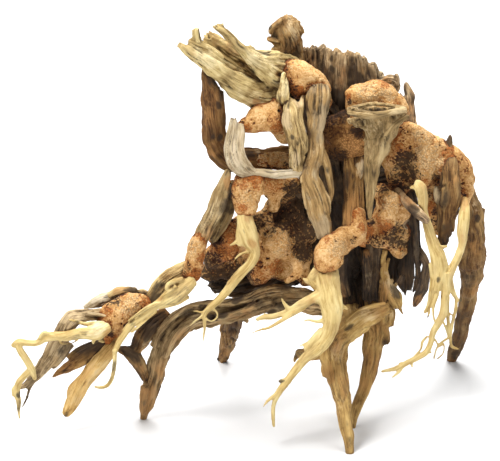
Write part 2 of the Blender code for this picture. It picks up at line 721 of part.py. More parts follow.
def heart():
    """The dark heart of the root, with the stumps that reach under the filler."""
    core = limb(
        [(59.5, 81, 70, 13.2), (58, 92, 74, 16.8), (57, 107, 80, 19.2), (54.5, 125, 84, 21.6),
         (53.5, 146, 86, 22.8), (54, 167, 88, 22.8), (55, 185, 90, 20.4), (56, 197.5, 91, 16.2),
         (56.5, 204.5, 92, 10.8)],
        sides=10, depth=0.62, step=15, flutes=5, seed=28.0,
    )
    left = limb([(49, 122, 84, 14.4), (30, 117, 82, 14.4), (13, 112, 80, 13.2), (-2, 107.5, 78, 12),
                 (-15, 104, 76, 10.8), (-24.5, 101.5, 74, 7.2)], sides=8, depth=0.6,
                step=12)
    back = limb([(52, 152, 90, 15.6), (32, 146, 84, 14.4), (18.5, 142, 80, 12),
                 (9, 137.5, 78, 7.2)], sides=8,
                depth=0.6, step=12)
    upper = limb([(51, 182, 90, 13.2), (41.5, 201, 88, 12), (29.5, 218, 84, 10.2),
                  (22, 228.5, 82, 7.2)], sides=8,
                 step=12)
    right = limb([(67, 167, 84, 13.2), (88, 170, 80, 10.8), (109, 168.5, 76, 9),
                  (129, 162.5, 78, 4.8)], sides=8,
                 step=12)
    return fused(core, left, back, upper, right)


def loop_filler():
    """Filler that bridges the loop branch and the crumpled stem."""
    return mound([(-4, 201, 52, 5.4), (3, 201.5, 54, 7.8), (11.5, 200, 56, 9), (20, 197, 60, 8.4),
                  (17.5, 209.5, 62, 8.4)], seed=1.0)


def head_filler():
    """Filler under the knob, over the top of the centre root."""
    return mound([(23.5, 221.5, 70, 10.2), (33, 226, 74, 9.6), (39, 221.5, 74, 8.4), (28, 213, 72, 9.6),
                  (41.5, 209.5, 76, 7.2)], seed=2.0)


def slab_filler():
    """Filler between the slab and the funnel root."""
    return mound([(60, 212, 74, 8.4), (69, 214, 72, 9), (80, 213.5, 72, 9.6), (87, 208, 70, 7.8),
                  (72.5, 208, 66, 7.8), (60, 207, 70, 6.6), (82, 202, 64, 7.2)], seed=3.0)


def shoulder_filler():
    """The large mound over the right shoulder, with two dark holes in it."""
    body = mound([(90.5, 186, 64, 11.4), (100, 185.5, 64, 12), (110, 179, 64, 11.4),
                  (116.5, 180.5, 66, 9.6),
                  (100, 166, 64, 9.6), (117, 167.5, 64, 10.2), (125.5, 167.5, 68, 8.4),
                  (127, 158, 70, 7.2),
                  (87, 192.5, 66, 7.2), (86, 177, 66, 9), (102.5, 176, 64, 11.4), (107.5, 166, 68, 7.8),
                  (86, 167.5, 66, 7.8), (88, 159, 66, 7.2), (126.5, 152, 70, 6)], share=0.13, seed=4.0)
    left = limb([(92.5, 168, 36, 5.4), (92.5, 168, 52, 4.8), (92.5, 168.5, 62, 3)], sides=7)
    right = limb([(110.5, 163, 36, 3.6), (110.5, 164, 52, 3.6), (110.5, 164, 60, 2.4)], sides=7)
    return cut(body, left, right)


def inner_filler():
    """Brown filler between the centre root and the funnel root."""
    return mound([(48, 195, 70, 8.4), (57, 197.5, 70, 9), (54.5, 185.5, 72, 10.2), (63, 186, 70, 8.4),
                  (47.5, 182, 74, 6.6), (65.5, 200, 66, 6.6)], seed=5.0)


def column_filler():
    """Filler under the level bar, from which the drop rootlet hangs."""
    return mound([(-5.5, 165, 42, 9), (-2, 164, 44, 9), (-4, 155.5, 43, 9.3), (-5, 147, 42, 8.1),
                  (6.5, 163, 46, 6), (11.5, 164, 50, 4.8)], seed=6.0)


def belly_filler():
    """Filler of the belly, left of the front filler and around the dark hollows."""
    return mound([(12.5, 158, 62, 7.8), (20, 159, 60, 8.4), (23.5, 147, 66, 9), (11.5, 146, 68, 7.8),
                  (-15, 126.5, 58, 10.2), (-23.5, 118, 56, 9), (-3, 130, 62, 10.8), (11.5, 130, 62, 12),
                  (22, 125.5, 60, 11.4), (8, 113.5, 62, 11.4), (28, 117, 64, 10.2),
                  (-5.5, 117, 62, 7.8),
                  (-9, 137.5, 58, 8.4), (17.5, 106, 64, 7.2), (32, 132.5, 62, 9),
                  (-0.5, 138.5, 62, 7.2),
                  (9, 137.5, 64, 8.4), (5.5, 102.5, 64, 6), (32, 102.5, 64, 6.6)], share=0.13, seed=7.0)


def elbow_filler():
    """Filler at the elbow of the left arm."""
    return mound([(-31, 125.5, 42, 6), (-34, 117.5, 42, 7.5), (-35.5, 109, 41, 7.5),
                  (-39, 103, 40, 5.4)], seed=8.0)


def arm_filler():
    """Filler that holds the outer arm pieces together."""
    return mound([(-87, 83, 38, 7.8), (-78.5, 86.5, 38, 8.4), (-70, 89, 38, 7.8), (-80, 77.5, 38, 7.8),
                  (-87, 74, 38, 6.6), (-82, 68.5, 38, 5.4), (-64, 89.5, 40, 4.8)], seed=9.0)


def front_filler():
    """The orange mound from which the front pale root grows."""
    return mound([(52, 132, 42, 7.8), (60.5, 132.5, 48, 7.2), (46, 124, 36, 9.6), (42, 116, 34, 8.4),
                  (53.5, 124, 40, 7.2), (46, 114.5, 34, 6)], seed=10.0)


def right_belly_filler():
    """Filler under the funnel's point and beside the black stem."""
    return mound([(82, 150.5, 60, 10.2), (88, 143.5, 60, 8.4), (78.5, 140, 60, 9), (82, 129, 60, 10.2),
                  (76, 159, 64, 7.8), (88, 120.5, 60, 7.2), (74, 128, 60, 7.2),
                  (68, 136, 60, 6)], seed=11.0)


WOOD = [
    ("front_pale_root", front_pale_root, CREAM),
    ("drop_rootlet", drop_rootlet, CREAM),
    ("comb_rootlet", comb_rootlet, CREAM),
    ("pale_zigzag_root", pale_zigzag_root, CREAM),
    ("pale_fan_root", pale_fan_root, CREAM),
    ("loop_branch", loop_branch, GREY),
    ("funnel_root", funnel_root, GREY),
    ("centre_root", centre_root, TAN),
    ("crumpled_stem", crumpled_stem, STRAW),
    ("front_leg", front_leg, TAN),
    ("left_forearm", left_forearm, GREY),
    ("bark_forearm", bark_forearm, GREY),
    ("split_log", split_log, TAN),
    ("left_bow", left_bow, BROWN),
    ("tan_finger_root", tan_finger_root, STRAW),
    ("grey_knee_root", grey_knee_root, GREY),
    ("brown_wedge_root", brown_wedge_root, BROWN),
    ("grey_upper_arm", grey_upper_arm, GREY),
    ("arm_block", arm_block, STRAW),
    ("arm_strut", arm_strut, BROWN),
    ("long_arm_root", long_arm_root, GREY),
    ("bridge_twig", bridge_twig, GREY),
    ("cone_branch", cone_branch, BROWN),
    ("inner_stem", inner_stem, BROWN),
    ("right_inner_leg", right_inner_leg, TAN),
    ("sinew_plate", sinew_plate, TAN),
    ("black_stem", black_stem, DARK),
    ("dark_stub", dark_stub, DARK),
    ("dark_curtain", dark_curtain, DARK),
    ("top_knob", top_knob, TAN),
    ("right_horn", right_horn, BROWN),
    ("right_leg", right_leg, BROWN),
    ("back_leg", back_leg, BROWN),
    ("heart", heart, DARK),
    ("fluted_slab", fluted_slab, DARK),
]

FILLER = [
    ("front_filler", front_filler, SAWDUST),
    ("column_filler", column_filler, SAWDUST),
    ("loop_filler", loop_filler, SAWDUST),
    ("elbow_filler", elbow_filler, SAWDUST),
    ("arm_filler", arm_filler, SAWDUST),
    ("shoulder_filler", shoulder_filler, SAWDUST),
    ("right_belly_filler", right_belly_filler, SAWDUST),
    ("belly_filler", belly_filler, SAWDUST),
    ("inner_filler", inner_filler, SAWDUST),
    ("head_filler", head_filler, SAWDUST),
    ("slab_filler", slab_filler, SAWDUST),
]


def painted(made, name, colour):
    """Names the finished piece and gives it its own material."""
    made.name = name
    made.data.name = name
    finish = bpy.data.materials.new(name)
    finish.use_nodes = True
    shader = finish.node_tree.nodes["Principled BSDF"]
    shader.inputs["Base Color"].default_value = (*colour, 1)
    shader.inputs["Roughness"].default_value = 0.8
    made.data.materials.clear()
    made.data.materials.append(finish)


def floor_cutter():
    """A block under the floor, to cut the soles of the feet flat."""
    body = bmesh.new()
    bmesh.ops.create_cube(body, size=1)
    bmesh.ops.scale(body, verts=body.verts, vec=(0.8, 0.8, 0.1))
    bmesh.ops.translate(body, verts=body.verts, vec=(0, 0.1, -0.05))
    data = bpy.data.meshes.new("floor")
    body.to_mesh(data)
    body.free()
    made = bpy.data.objects.new("floor", data)
    bpy.context.scene.collection.objects.link(made)
    return made


def main():
    """Builds every piece, wood first, and leaves a gap where a later one meets an earlier one."""
    for other in list(bpy.data.objects):
        bpy.data.objects.remove(other)
    finished = []
    shells = []
    for name, make, colour in WOOD + FILLER:
        made = make()
        if bounds(made)[0].z < 0:
            cut(made, floor_cutter())
        shell = swollen(made, GAP)
        for earlier in shells:
            if near(made, earlier):
                cut(made, copied(earlier))
        largest_body(made)
        largest_body(cleared(made, finished))
        painted(made, name, colour)
        finished.append(made)
        shells.append(shell)
    for shell in shells:
        bpy.data.objects.remove(shell)
    corners = [bounds(made) for made in finished]
    low = [min(corner[0][axis] for corner in corners) for axis in range(3)]
    high = [max(corner[1][axis] for corner in corners) for axis in range(3)]
    home = Vector(((low[0] + high[0]) / 2, (low[1] + high[1]) / 2, 0))
    for made in finished:
        for vert in made.data.vertices:
            vert.co -= home


main()
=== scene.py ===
"""Driftwood root: weathered wood pieces and mounds of sawdust filler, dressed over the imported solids.

Places are (across, up, back) in millimetres on a board that leans away from the viewer by LEAN, as in the
part's source, and a route's fourth number is the half width that is seen there.
"""

import logging
import math
from dataclasses import dataclass, fields, replace
from enum import Enum

import bpy
import numpy as np
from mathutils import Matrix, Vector, bvhtree, kdtree


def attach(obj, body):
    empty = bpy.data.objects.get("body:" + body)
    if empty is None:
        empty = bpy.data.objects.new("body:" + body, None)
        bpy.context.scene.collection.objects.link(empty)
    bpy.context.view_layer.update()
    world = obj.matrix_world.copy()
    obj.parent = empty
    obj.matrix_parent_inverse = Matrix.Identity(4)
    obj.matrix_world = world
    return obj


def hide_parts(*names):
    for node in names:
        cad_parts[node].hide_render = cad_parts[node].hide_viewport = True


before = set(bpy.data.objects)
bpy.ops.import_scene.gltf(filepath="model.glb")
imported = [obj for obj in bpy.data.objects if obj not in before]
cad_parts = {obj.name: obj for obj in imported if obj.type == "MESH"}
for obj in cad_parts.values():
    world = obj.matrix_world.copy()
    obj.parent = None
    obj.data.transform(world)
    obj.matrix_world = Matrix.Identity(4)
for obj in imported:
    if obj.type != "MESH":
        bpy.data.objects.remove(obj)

LOG = logging.getLogger("root")
MM = 0.001
LEAN = math.radians(20)
HOME = np.array([-1.101, 78.095, 0.0])  # where the part's source puts the middle of its floor, on the board
INTO = np.array([0.0, math.cos(LEAN), -math.sin(LEAN)])
FINE = 1.0  # distance between the rings of a limb
ROUND = 1.1  # distance between the points round it
SIDES = (10, 40)  # the fewest and the most points round a limb
BALL_SIDES = 20  # points round a mound's ball
BALL_RINGS = 10  # rings of them between its poles
COARSE = 1.2  # size of a mound's faces before its creases are filled
FILLET = 3.0  # how wide the creases between the lumps of a mound are filled
SHAPE_SEED = 7  # picks the noise of lumps and ridges
DETAIL_SEED = 23  # picks the noise of cracks, flakes, pits and ragged marks
BATCH = 4096  # points whose nearest station is looked for at a time
SIGHT = 26.0  # how far round itself a point looks for what closes it in
SIGHTS = 18  # the directions that it looks in
GOLDEN_TURN = 2.39996  # the turn from one of them to the next, which spreads them evenly
SPARSE = 14  # one point in so many looks round itself

Place = tuple[float, float, float]
Stop = tuple[float, float, float, float]
Patch = tuple[float, float, float, float, float]
Colour = tuple[float, float, float]


class Slot(Enum):
    """The record's material slots."""

    CREAM = "cream_rootlet"
    STRAW = "straw_wood"
    GREY = "grey_wood"
    BROWN = "brown_wood"
    TAN = "tan_wood"
    DARK = "dark_wood"
    FILLER = "filler"


class Tone(Enum):
    """What a mark does to the colour of the wood or filler under it."""

    # Dark marks are mostly painted shade in holes, clefts, slots and caves, partly darker wood and filler.
    # Pale marks partly lift spots that lie in shade, as painted light, and partly pick out paler wood and
    # filler. Rust marks are stains.
    PALE = "pale"
    DARK = "dark"
    RUST = "rust"


def board(places: np.ndarray) -> np.ndarray:
    """Turns places on the leaning board into millimetres in the frame.

    Args:
        places: rows of across, up and back.

    Returns:
        Rows of x, y and z.
    """
    across, up, back = np.asarray(places, float)[:, :3].T
    rise = (up - back * math.sin(LEAN)) / math.cos(LEAN)
    return np.stack([across, back, rise], axis=1) - HOME


def eased(value: np.ndarray, low: float, high: float) -> np.ndarray:
    """A soft step from 0 at low to 1 at high."""
    part = np.clip((value - low) / (high - low), 0, 1)
    return part * part * (3 - 2 * part)


def linked(name: str, data: bpy.types.ID) -> bpy.types.Object:
    """A new object in the scene that shows the data."""
    thing = bpy.data.objects.new(name, data)
    bpy.context.scene.collection.objects.link(thing)
    return thing


def round_ball() -> tuple[np.ndarray, list[list[int]]]:
    """A ball of radius 1: its points, and the corners of each of its faces."""
    turn, rise = np.meshgrid(
        np.linspace(0, 2 * math.pi, BALL_SIDES, endpoint=False),
        np.linspace(0, math.pi, BALL_RINGS + 2)[1:-1],
    )
    ball = np.stack([np.cos(turn) * np.sin(rise), np.sin(turn) * np.sin(rise), np.cos(rise)], -1)
    top = BALL_SIDES * BALL_RINGS
    last = top - BALL_SIDES
    sides = [(i, (i + 1) % BALL_SIDES) for i in range(BALL_SIDES)]
    faces = [
        [low + i, low + BALL_SIDES + i, low + BALL_SIDES + j, low + j]
        for low in range(0, last, BALL_SIDES) for i, j in sides
    ]
    faces += [[top, i, j] for i, j in sides] + [[top + 1, last + j, last + i] for i, j in sides]
    return np.vstack([ball.reshape(-1, 3), [0, 0, 1], [0, 0, -1]]), faces


class Noise:
    """Smooth, repeatable noise for rows of points, from about -1 to 1."""

    def __init__(self, seed: int) -> None:
        """Makes the tables that the noise is read from.

        Args:
            seed: a whole number that picks the pattern.
        """
        source = np.random.default_rng(seed)
        self.order = source.permutation(256)
        slopes = source.normal(size=(256, 3))
        self.slopes = slopes / np.linalg.norm(slopes, axis=1)[:, None]
        self.shifts = source.uniform(size=(256, 3))
        self.corners = [np.array([i >> 2, (i >> 1) & 1, i & 1]) for i in range(8)]

    def entry(self, cells: np.ndarray) -> np.ndarray:
        """The table entry of each cell."""
        x, y, z = (cells & 255).T
        return self.order[(self.order[(self.order[x] + y) & 255] + z) & 255]

    def at(self, points: np.ndarray, octaves: int = 1) -> np.ndarray:
        """Reads the noise.

        Args:
            points: rows of x, y and z, in units of the pattern's cells.
            octaves: how many finer copies are added, each at half the strength.

        Returns:
            One value a row.
        """
        base = np.floor(points).astype(np.int64)
        part = points - base
        ease = part**3 * (part * (part * 6 - 15) + 10)
        total = np.zeros(len(points))
        for corner in self.corners:
            push = np.einsum("ij,ij->i", self.slopes[self.entry(base + corner)], part - corner)
            total += push * np.prod(np.where(corner, ease, 1 - ease), axis=1)
        total *= 1.7
        if octaves > 1:
            total = total + 0.5 * self.at(points * 2.03 + 17.3, octaves - 1)
        return total

    def grains(self, points: np.ndarray) -> tuple[np.ndarray, np.ndarray]:
        """Scatters one grain in each cell and finds the nearest.

        Args:
            points: rows of x, y and z, in units of the cells.

        Returns:
            The distance to the nearest grain, and a random value from 0 to 1 that it owns.
        """
        base = np.floor(points).astype(np.int64)
        nearest = np.full(len(points), 9.0)
        owner = np.zeros(len(points))
        for step in np.ndindex(3, 3, 3):
            cell = base + np.array(step) - 1
            pick = self.entry(cell)
            away = np.linalg.norm(cell + self.shifts[pick] - points, axis=1)
            closer = away < nearest
            nearest = np.where(closer, away, nearest)
            owner = np.where(closer, pick / 255, owner)
        return nearest, owner


@dataclass(frozen=True)
class Limb:
    """One stretch of wood along a route.

    Depth is its thickness as a share of its width. Flutes are the ridges round it, and ridge is how high
    they are. Twist turns the grain, in radians a millimetre. Frayed is how long the splinters are at its
    first and last end. Crown is how far the first end bulges, as a share of its half width.
    """

    route: tuple[Stop, ...]
    depth: float = 0.85
    flutes: int = 0
    ridge: float = 0.13
    twist: float = 0.012
    frayed: tuple[float, float] = (0.0, 0.0)
    crown: float = 0.35


@dataclass(frozen=True)
class Mark:
    """A patch of another tone, a ragged ball round a place on the board."""

    place: Place
    radius: float
    tone: Tone
    strength: float


def patches(
    dark: tuple[Patch, ...] = (), pale: tuple[Patch, ...] = (), rust: tuple[Patch, ...] = ()
) -> tuple[Mark, ...]:
    """The marks of one piece.

    Args:
        dark: rows of across, up, back, radius and strength, one for each dark mark.
        pale: the same for the pale marks.
        rust: the same for the rust-red ones.

    Returns:
        The marks.
    """
    kinds = ((Tone.DARK, dark), (Tone.PALE, pale), (Tone.RUST, rust))
    return tuple(Mark(row[:3], row[3], tone, row[4]) for tone, rows in kinds for row in rows)


@dataclass(frozen=True)
class Wear:
    """How deep the skin of a piece is worn, in millimetres."""

    lumps: float = 0.7
    ridges: float = 0.75
    width: float = 4.2
    fibres: float = 0.28
    cracks: float = 1.3
    flakes: float = 0.35


SMOOTH_WEAR = Wear(lumps=0.45, ridges=0.22, width=3.0, fibres=0.1, cracks=0.25, flakes=0.08)


class Course:
    """The stations along a limb: centre, half width, and the three directions there."""

    def __init__(self, limb: Limb) -> None:
        """Follows a soft curve through the limb's route.

        Args:
            limb: the stretch of wood.
        """
        spots = board(np.array(limb.route))
        halves = [stop[3] for stop in limb.route]
        spots_list = [spots[0], *spots, spots[-1]]
        centres, widths = [], []
        for k in range(len(spots) - 1):
            a, b, c, d = spots_list[k : k + 4]
            parts = max(2, round(float(np.linalg.norm(c - b)) / FINE))
            for i in range(parts):
                t = i / parts
                centres.append(
                    (-t + 2 * t**2 - t**3) / 2 * a
                    + (2 - 5 * t**2 + 3 * t**3) / 2 * b
                    + (t + 4 * t**2 - 3 * t**3) / 2 * c
                    + (-(t**2) + t**3) / 2 * d
                )
                widths.append(halves[k] + (halves[k + 1] - halves[k]) * t)
        self.limb = limb
        self.centre = np.array([*centres, spots[-1]])
        self.half = np.array([*widths, halves[-1]])
        gaps = np.linalg.norm(np.diff(self.centre, axis=0), axis=1)
        self.arc = np.concatenate([[0.0], np.cumsum(gaps)])
        ahead = np.gradient(self.centre, axis=0)
        self.ahead = ahead / np.linalg.norm(ahead, axis=1)[:, None]
        sides = []
        side = np.array([1.0, 0.0, 0.0])
        for way in self.ahead:
            across = np.cross(way, INTO)
            if np.linalg.norm(across) > 0.2:
                side = across / np.linalg.norm(across)
            sides.append(side)
        self.side = np.array(sides)
        deep = np.cross(self.side, self.ahead)
        self.deep = deep / np.linalg.norm(deep, axis=1)[:, None]

    def skin(self, noise: Noise) -> tuple[np.ndarray, np.ndarray]:
        """Sweeps the limb's section along the course.

        Args:
            noise: bends the section a little, so that no limb is a plain tube.

        Returns:
            The points, and the faces as rows of four corners, the last of them -1 in a triangle.
        """
        limb = self.limb
        sides = int(np.clip(2 * math.pi * self.half.max() / ROUND, *SIDES))
        turn = np.linspace(0, 2 * math.pi, sides, endpoint=False)[None, :]
        arc = self.arc[:, None]
        around = (np.cos(turn) * 1.3, np.sin(turn) * 1.3, arc / 14 + limb.route[0][0])
        place = np.stack(np.broadcast_arrays(*around), -1)
        wide = 1 + 0.16 * noise.at(place.reshape(-1, 3)).reshape(place.shape[:2])
        if limb.flutes:
            wide = wide + limb.ridge * np.cos(limb.flutes * (turn + limb.twist * arc))
        reach = self.half[:, None] * wide
        points = (
            self.centre[:, None]
            + self.side[:, None] * (reach * np.cos(turn))[..., None]
            + self.deep[:, None] * (reach * np.sin(turn) * limb.depth)[..., None]
        ).reshape(-1, 3)
        first = self.centre[0] - self.ahead[0] * self.half[0] * limb.crown
        final = self.centre[-1] + self.ahead[-1] * self.half[-1] * 0.6
        ring = np.arange(sides)
        following = (ring + 1) % sides
        rows = []
        for k in range(len(self.centre) - 1):
            low, high = k * sides, (k + 1) * sides
            rows.append(np.stack([low + ring, high + ring, high + following, low + following], 1))
        count = len(points)
        top = count - sides
        blank = np.full(sides, -1)
        rows.append(np.stack([following, np.full(sides, count), ring, blank], 1))
        rows.append(np.stack([top + ring, np.full(sides, count + 1), top + following, blank], 1))
        return np.vstack([points, first, final]), np.vstack(rows)


class Grainwork:
    """Straightened coordinates of points on a piece, along and across the wood's grain."""

    def __init__(self, courses: list[Course], points: np.ndarray) -> None:
        """Finds the nearest station of each point.

        Args:
            courses: the piece's limbs.
            points: rows of x, y and z in millimetres.
        """
        centre = np.vstack([course.centre for course in courses])
        half = np.concatenate([course.half for course in courses])
        owner = np.concatenate([np.full(len(c.centre), i) for i, c in enumerate(courses)])
        nearest = np.empty(len(points), int)
        for start in range(0, len(points), BATCH):
            part = points[start : start + BATCH]
            away = np.linalg.norm(part[:, None] - centre[None], axis=2) - 0.9 * half[None]
            nearest[start : start + BATCH] = away.argmin(axis=1)

        def gather(name: str) -> np.ndarray:
            """What the nearest station of each point holds under that name."""
            return np.concatenate([getattr(course, name) for course in courses])[nearest]

        offset = points - centre[nearest]
        self.half = half[nearest]
        self.ahead = gather("ahead")
        reach = np.array([course.arc[-1] for course in courses])[owner[nearest]]
        self.along = gather("arc") + np.einsum("ij,ij->i", offset, self.ahead)
        self.left = reach - self.along
        across = np.einsum("ij,ij->i", offset, gather("side"))
        deep = np.einsum("ij,ij->i", offset, gather("deep"))
        twist = np.array([course.limb.twist for course in courses])[owner[nearest]] * self.along
        self.across = across * np.cos(twist) + deep * np.sin(twist)
        self.deep = deep * np.cos(twist) - across * np.sin(twist)
        frayed = np.array([course.limb.frayed for course in courses])[owner[nearest]]
        self.frayed_first, self.frayed_last = frayed.T
        self.shift = owner[nearest] * 7.7

    def at(self, width: float, length: float) -> np.ndarray:
        """The coordinates in units of a pattern that is width wide and length long, in millimetres."""
        return np.stack(
            [self.across / width + self.shift, self.deep / width, self.along / length], axis=1
        )


@dataclass(frozen=True)
class Wood:
    """One piece of wood: its limbs, what is hollowed out of it, its wear, its marks and its finish."""

    limbs: tuple[Limb, ...]
    hollows: tuple[Limb, ...] = ()
    marks: tuple[Mark, ...] = ()
    wear: Wear = Wear()
    finish: "WoodFinish | None" = None
    cell: float = 0.75


@dataclass(frozen=True)
class Mound:
    """One mound of filler: balls (across, up, back, radius) and tongues that are fused, and holes in it."""

    balls: tuple[Stop, ...]
    tongues: tuple[Limb, ...] = ()
    hollows: tuple[Limb, ...] = ()
    marks: tuple[Mark, ...] = ()
    finish: "FillerFinish | None" = None
    cell: float = 0.8


class Socket:
    """A value in a material's node tree. Arithmetic on it adds Math nodes."""

    def __init__(self, shader: "Shader", output: bpy.types.NodeSocket) -> None:
        """Wraps an output socket.

        Args:
            shader: the material that the socket belongs to.
            output: the socket.
        """
        self.shader = shader
        self.output = output

    def math(self, operation: str, first: "Socket | float", second: "Socket | float" = 0.0) -> "Socket":
        """Adds one Math node.

        Args:
            operation: Blender's name of the operation.
            first: its first input.
            second: its second input.

        Returns:
            The node's output.
        """
        return self.shader.node("ShaderNodeMath", {"operation": operation}, {0: first, 1: second})

    def __add__(self, other: "Socket | float") -> "Socket":
        """This plus the other."""
        return self.math("ADD", self, other)

    def __radd__(self, other: float) -> "Socket":
        """The other plus this."""
        return self.math("ADD", other, self)

    def __sub__(self, other: "Socket | float") -> "Socket":
        """This less the other."""
        return self.math("SUBTRACT", self, other)

    def __rsub__(self, other: float) -> "Socket":
        """The other less this."""
        return self.math("SUBTRACT", other, self)

    def __mul__(self, other: "Socket | float") -> "Socket":
        """This times the other."""
        return self.math("MULTIPLY", self, other)

    def __rmul__(self, other: float) -> "Socket":
        """The other times this."""
        return self.math("MULTIPLY", other, self)

    def step(self, low: float, high: float) -> "Socket":
        """A soft step from 0 where this is at low to 1 where it is at high."""
        settings = {"interpolation_type": "SMOOTHSTEP"}
        return self.shader.node(
            "ShaderNodeMapRange", settings, {0: self, "From Min": low, "From Max": high}
        )


class Shader:
    """One material and the nodes in it."""

    def __init__(self, name: str) -> None:
        """Makes the material.

        Args:
            name: what it is called.
        """
        self.material = bpy.data.materials.new(name)
        self.material.use_nodes = True
        self.tree = self.material.node_tree
        self.skin = self.tree.nodes["Principled BSDF"]

    def node(
        self, kind: str, settings: dict[str, object], values: dict[int | str, object], out: int | str = 0
    ) -> Socket:
        """Adds a node.

        Args:
            kind: Blender's type of node.
            settings: its properties, set first. "stops" holds a ramp's (position, colour) pairs.
            values: its inputs by name or number, each a plain value or a Socket to link.
            out: the output wanted.

        Returns:
            The wanted output.
        """
        made = self.tree.nodes.new(kind)
        for key, value in settings.items():
            if key == "stops":
                self.set_stops(made.color_ramp, value)
            else:
                setattr(made, key, value)
        for key, value in values.items():
            if isinstance(value, Socket):
                self.tree.links.new(value.output, made.inputs[key])
            else:
                made.inputs[key].default_value = value
        return Socket(self, made.outputs[out])

    def set_stops(self, ramp: bpy.types.ColorRamp, stops: list[tuple[float, Colour]]) -> None:
        """Gives a ramp its stops.

        Args:
            ramp: the ramp, with Blender's two first stops.
            stops: the position and colour of each, in order.
        """
        for _ in stops[2:]:
            ramp.elements.new(0.5)
        for element, (position, colour) in zip(ramp.elements, stops):
            element.position = position
            element.color = (*colour, 1)

    def attribute(self, name: str, out: str = "Fac") -> Socket:
        """Reads a value that the workshop stored at each point of the mesh."""
        return self.node("ShaderNodeAttribute", {"attribute_name": name}, {}, out)

    def mix(self, share: Socket | float, low: object, high: object, blend: str = "MIX") -> Socket:
        """Mixes two colours.

        Args:
            share: how much of the second shows.
            low: the first colour or Socket.
            high: the second colour or Socket.
            blend: Blender's name of the way to mix.

        Returns:
            The mixed colour.
        """
        whole = [(*c, 1) if isinstance(c, tuple) else c for c in (low, high)]
        settings = {"data_type": "RGBA", "blend_type": blend, "clamp_factor": True}
        return self.node("ShaderNodeMix", settings, {0: share, 6: whole[0], 7: whole[1]}, 2)

    def stretched(self, source: Socket, scale: tuple[float, float, float]) -> Socket:
        """Multiplies a vector by another, part by part."""
        return self.node("ShaderNodeVectorMath", {"operation": "MULTIPLY"}, {0: source, 1: scale})

    def noise(self, source: Socket, detail: float = 2.0, rough: float = 0.55) -> Socket:
        """Noise from 0 to 1 at a vector."""
        values = {"Vector": source, "Scale": 1.0, "Detail": detail, "Roughness": rough}
        return self.node("ShaderNodeTexNoise", {}, values)

    def dress(
        self, colour: Socket, rough: Socket | float, height: Socket, depth: float, strength: float
    ) -> None:
        """Sends the finished colour, roughness and relief to the skin.

        Args:
            colour: the base colour.
            rough: the roughness.
            height: the relief, from 0 to 1.
            depth: how deep that relief is, in millimetres.
            strength: how much of it shows.
        """
        values = {"Height": height, "Distance": depth * MM, "Strength": strength}
        normal = self.node("ShaderNodeBump", {}, values)
        for name, source in (("Base Color", colour), ("Roughness", rough), ("Normal", normal)):
            if isinstance(source, Socket):
                self.tree.links.new(source.output, self.skin.inputs[name])
            else:
                self.skin.inputs[name].default_value = source
        self.skin.inputs["Specular IOR Level"].default_value = 0.3


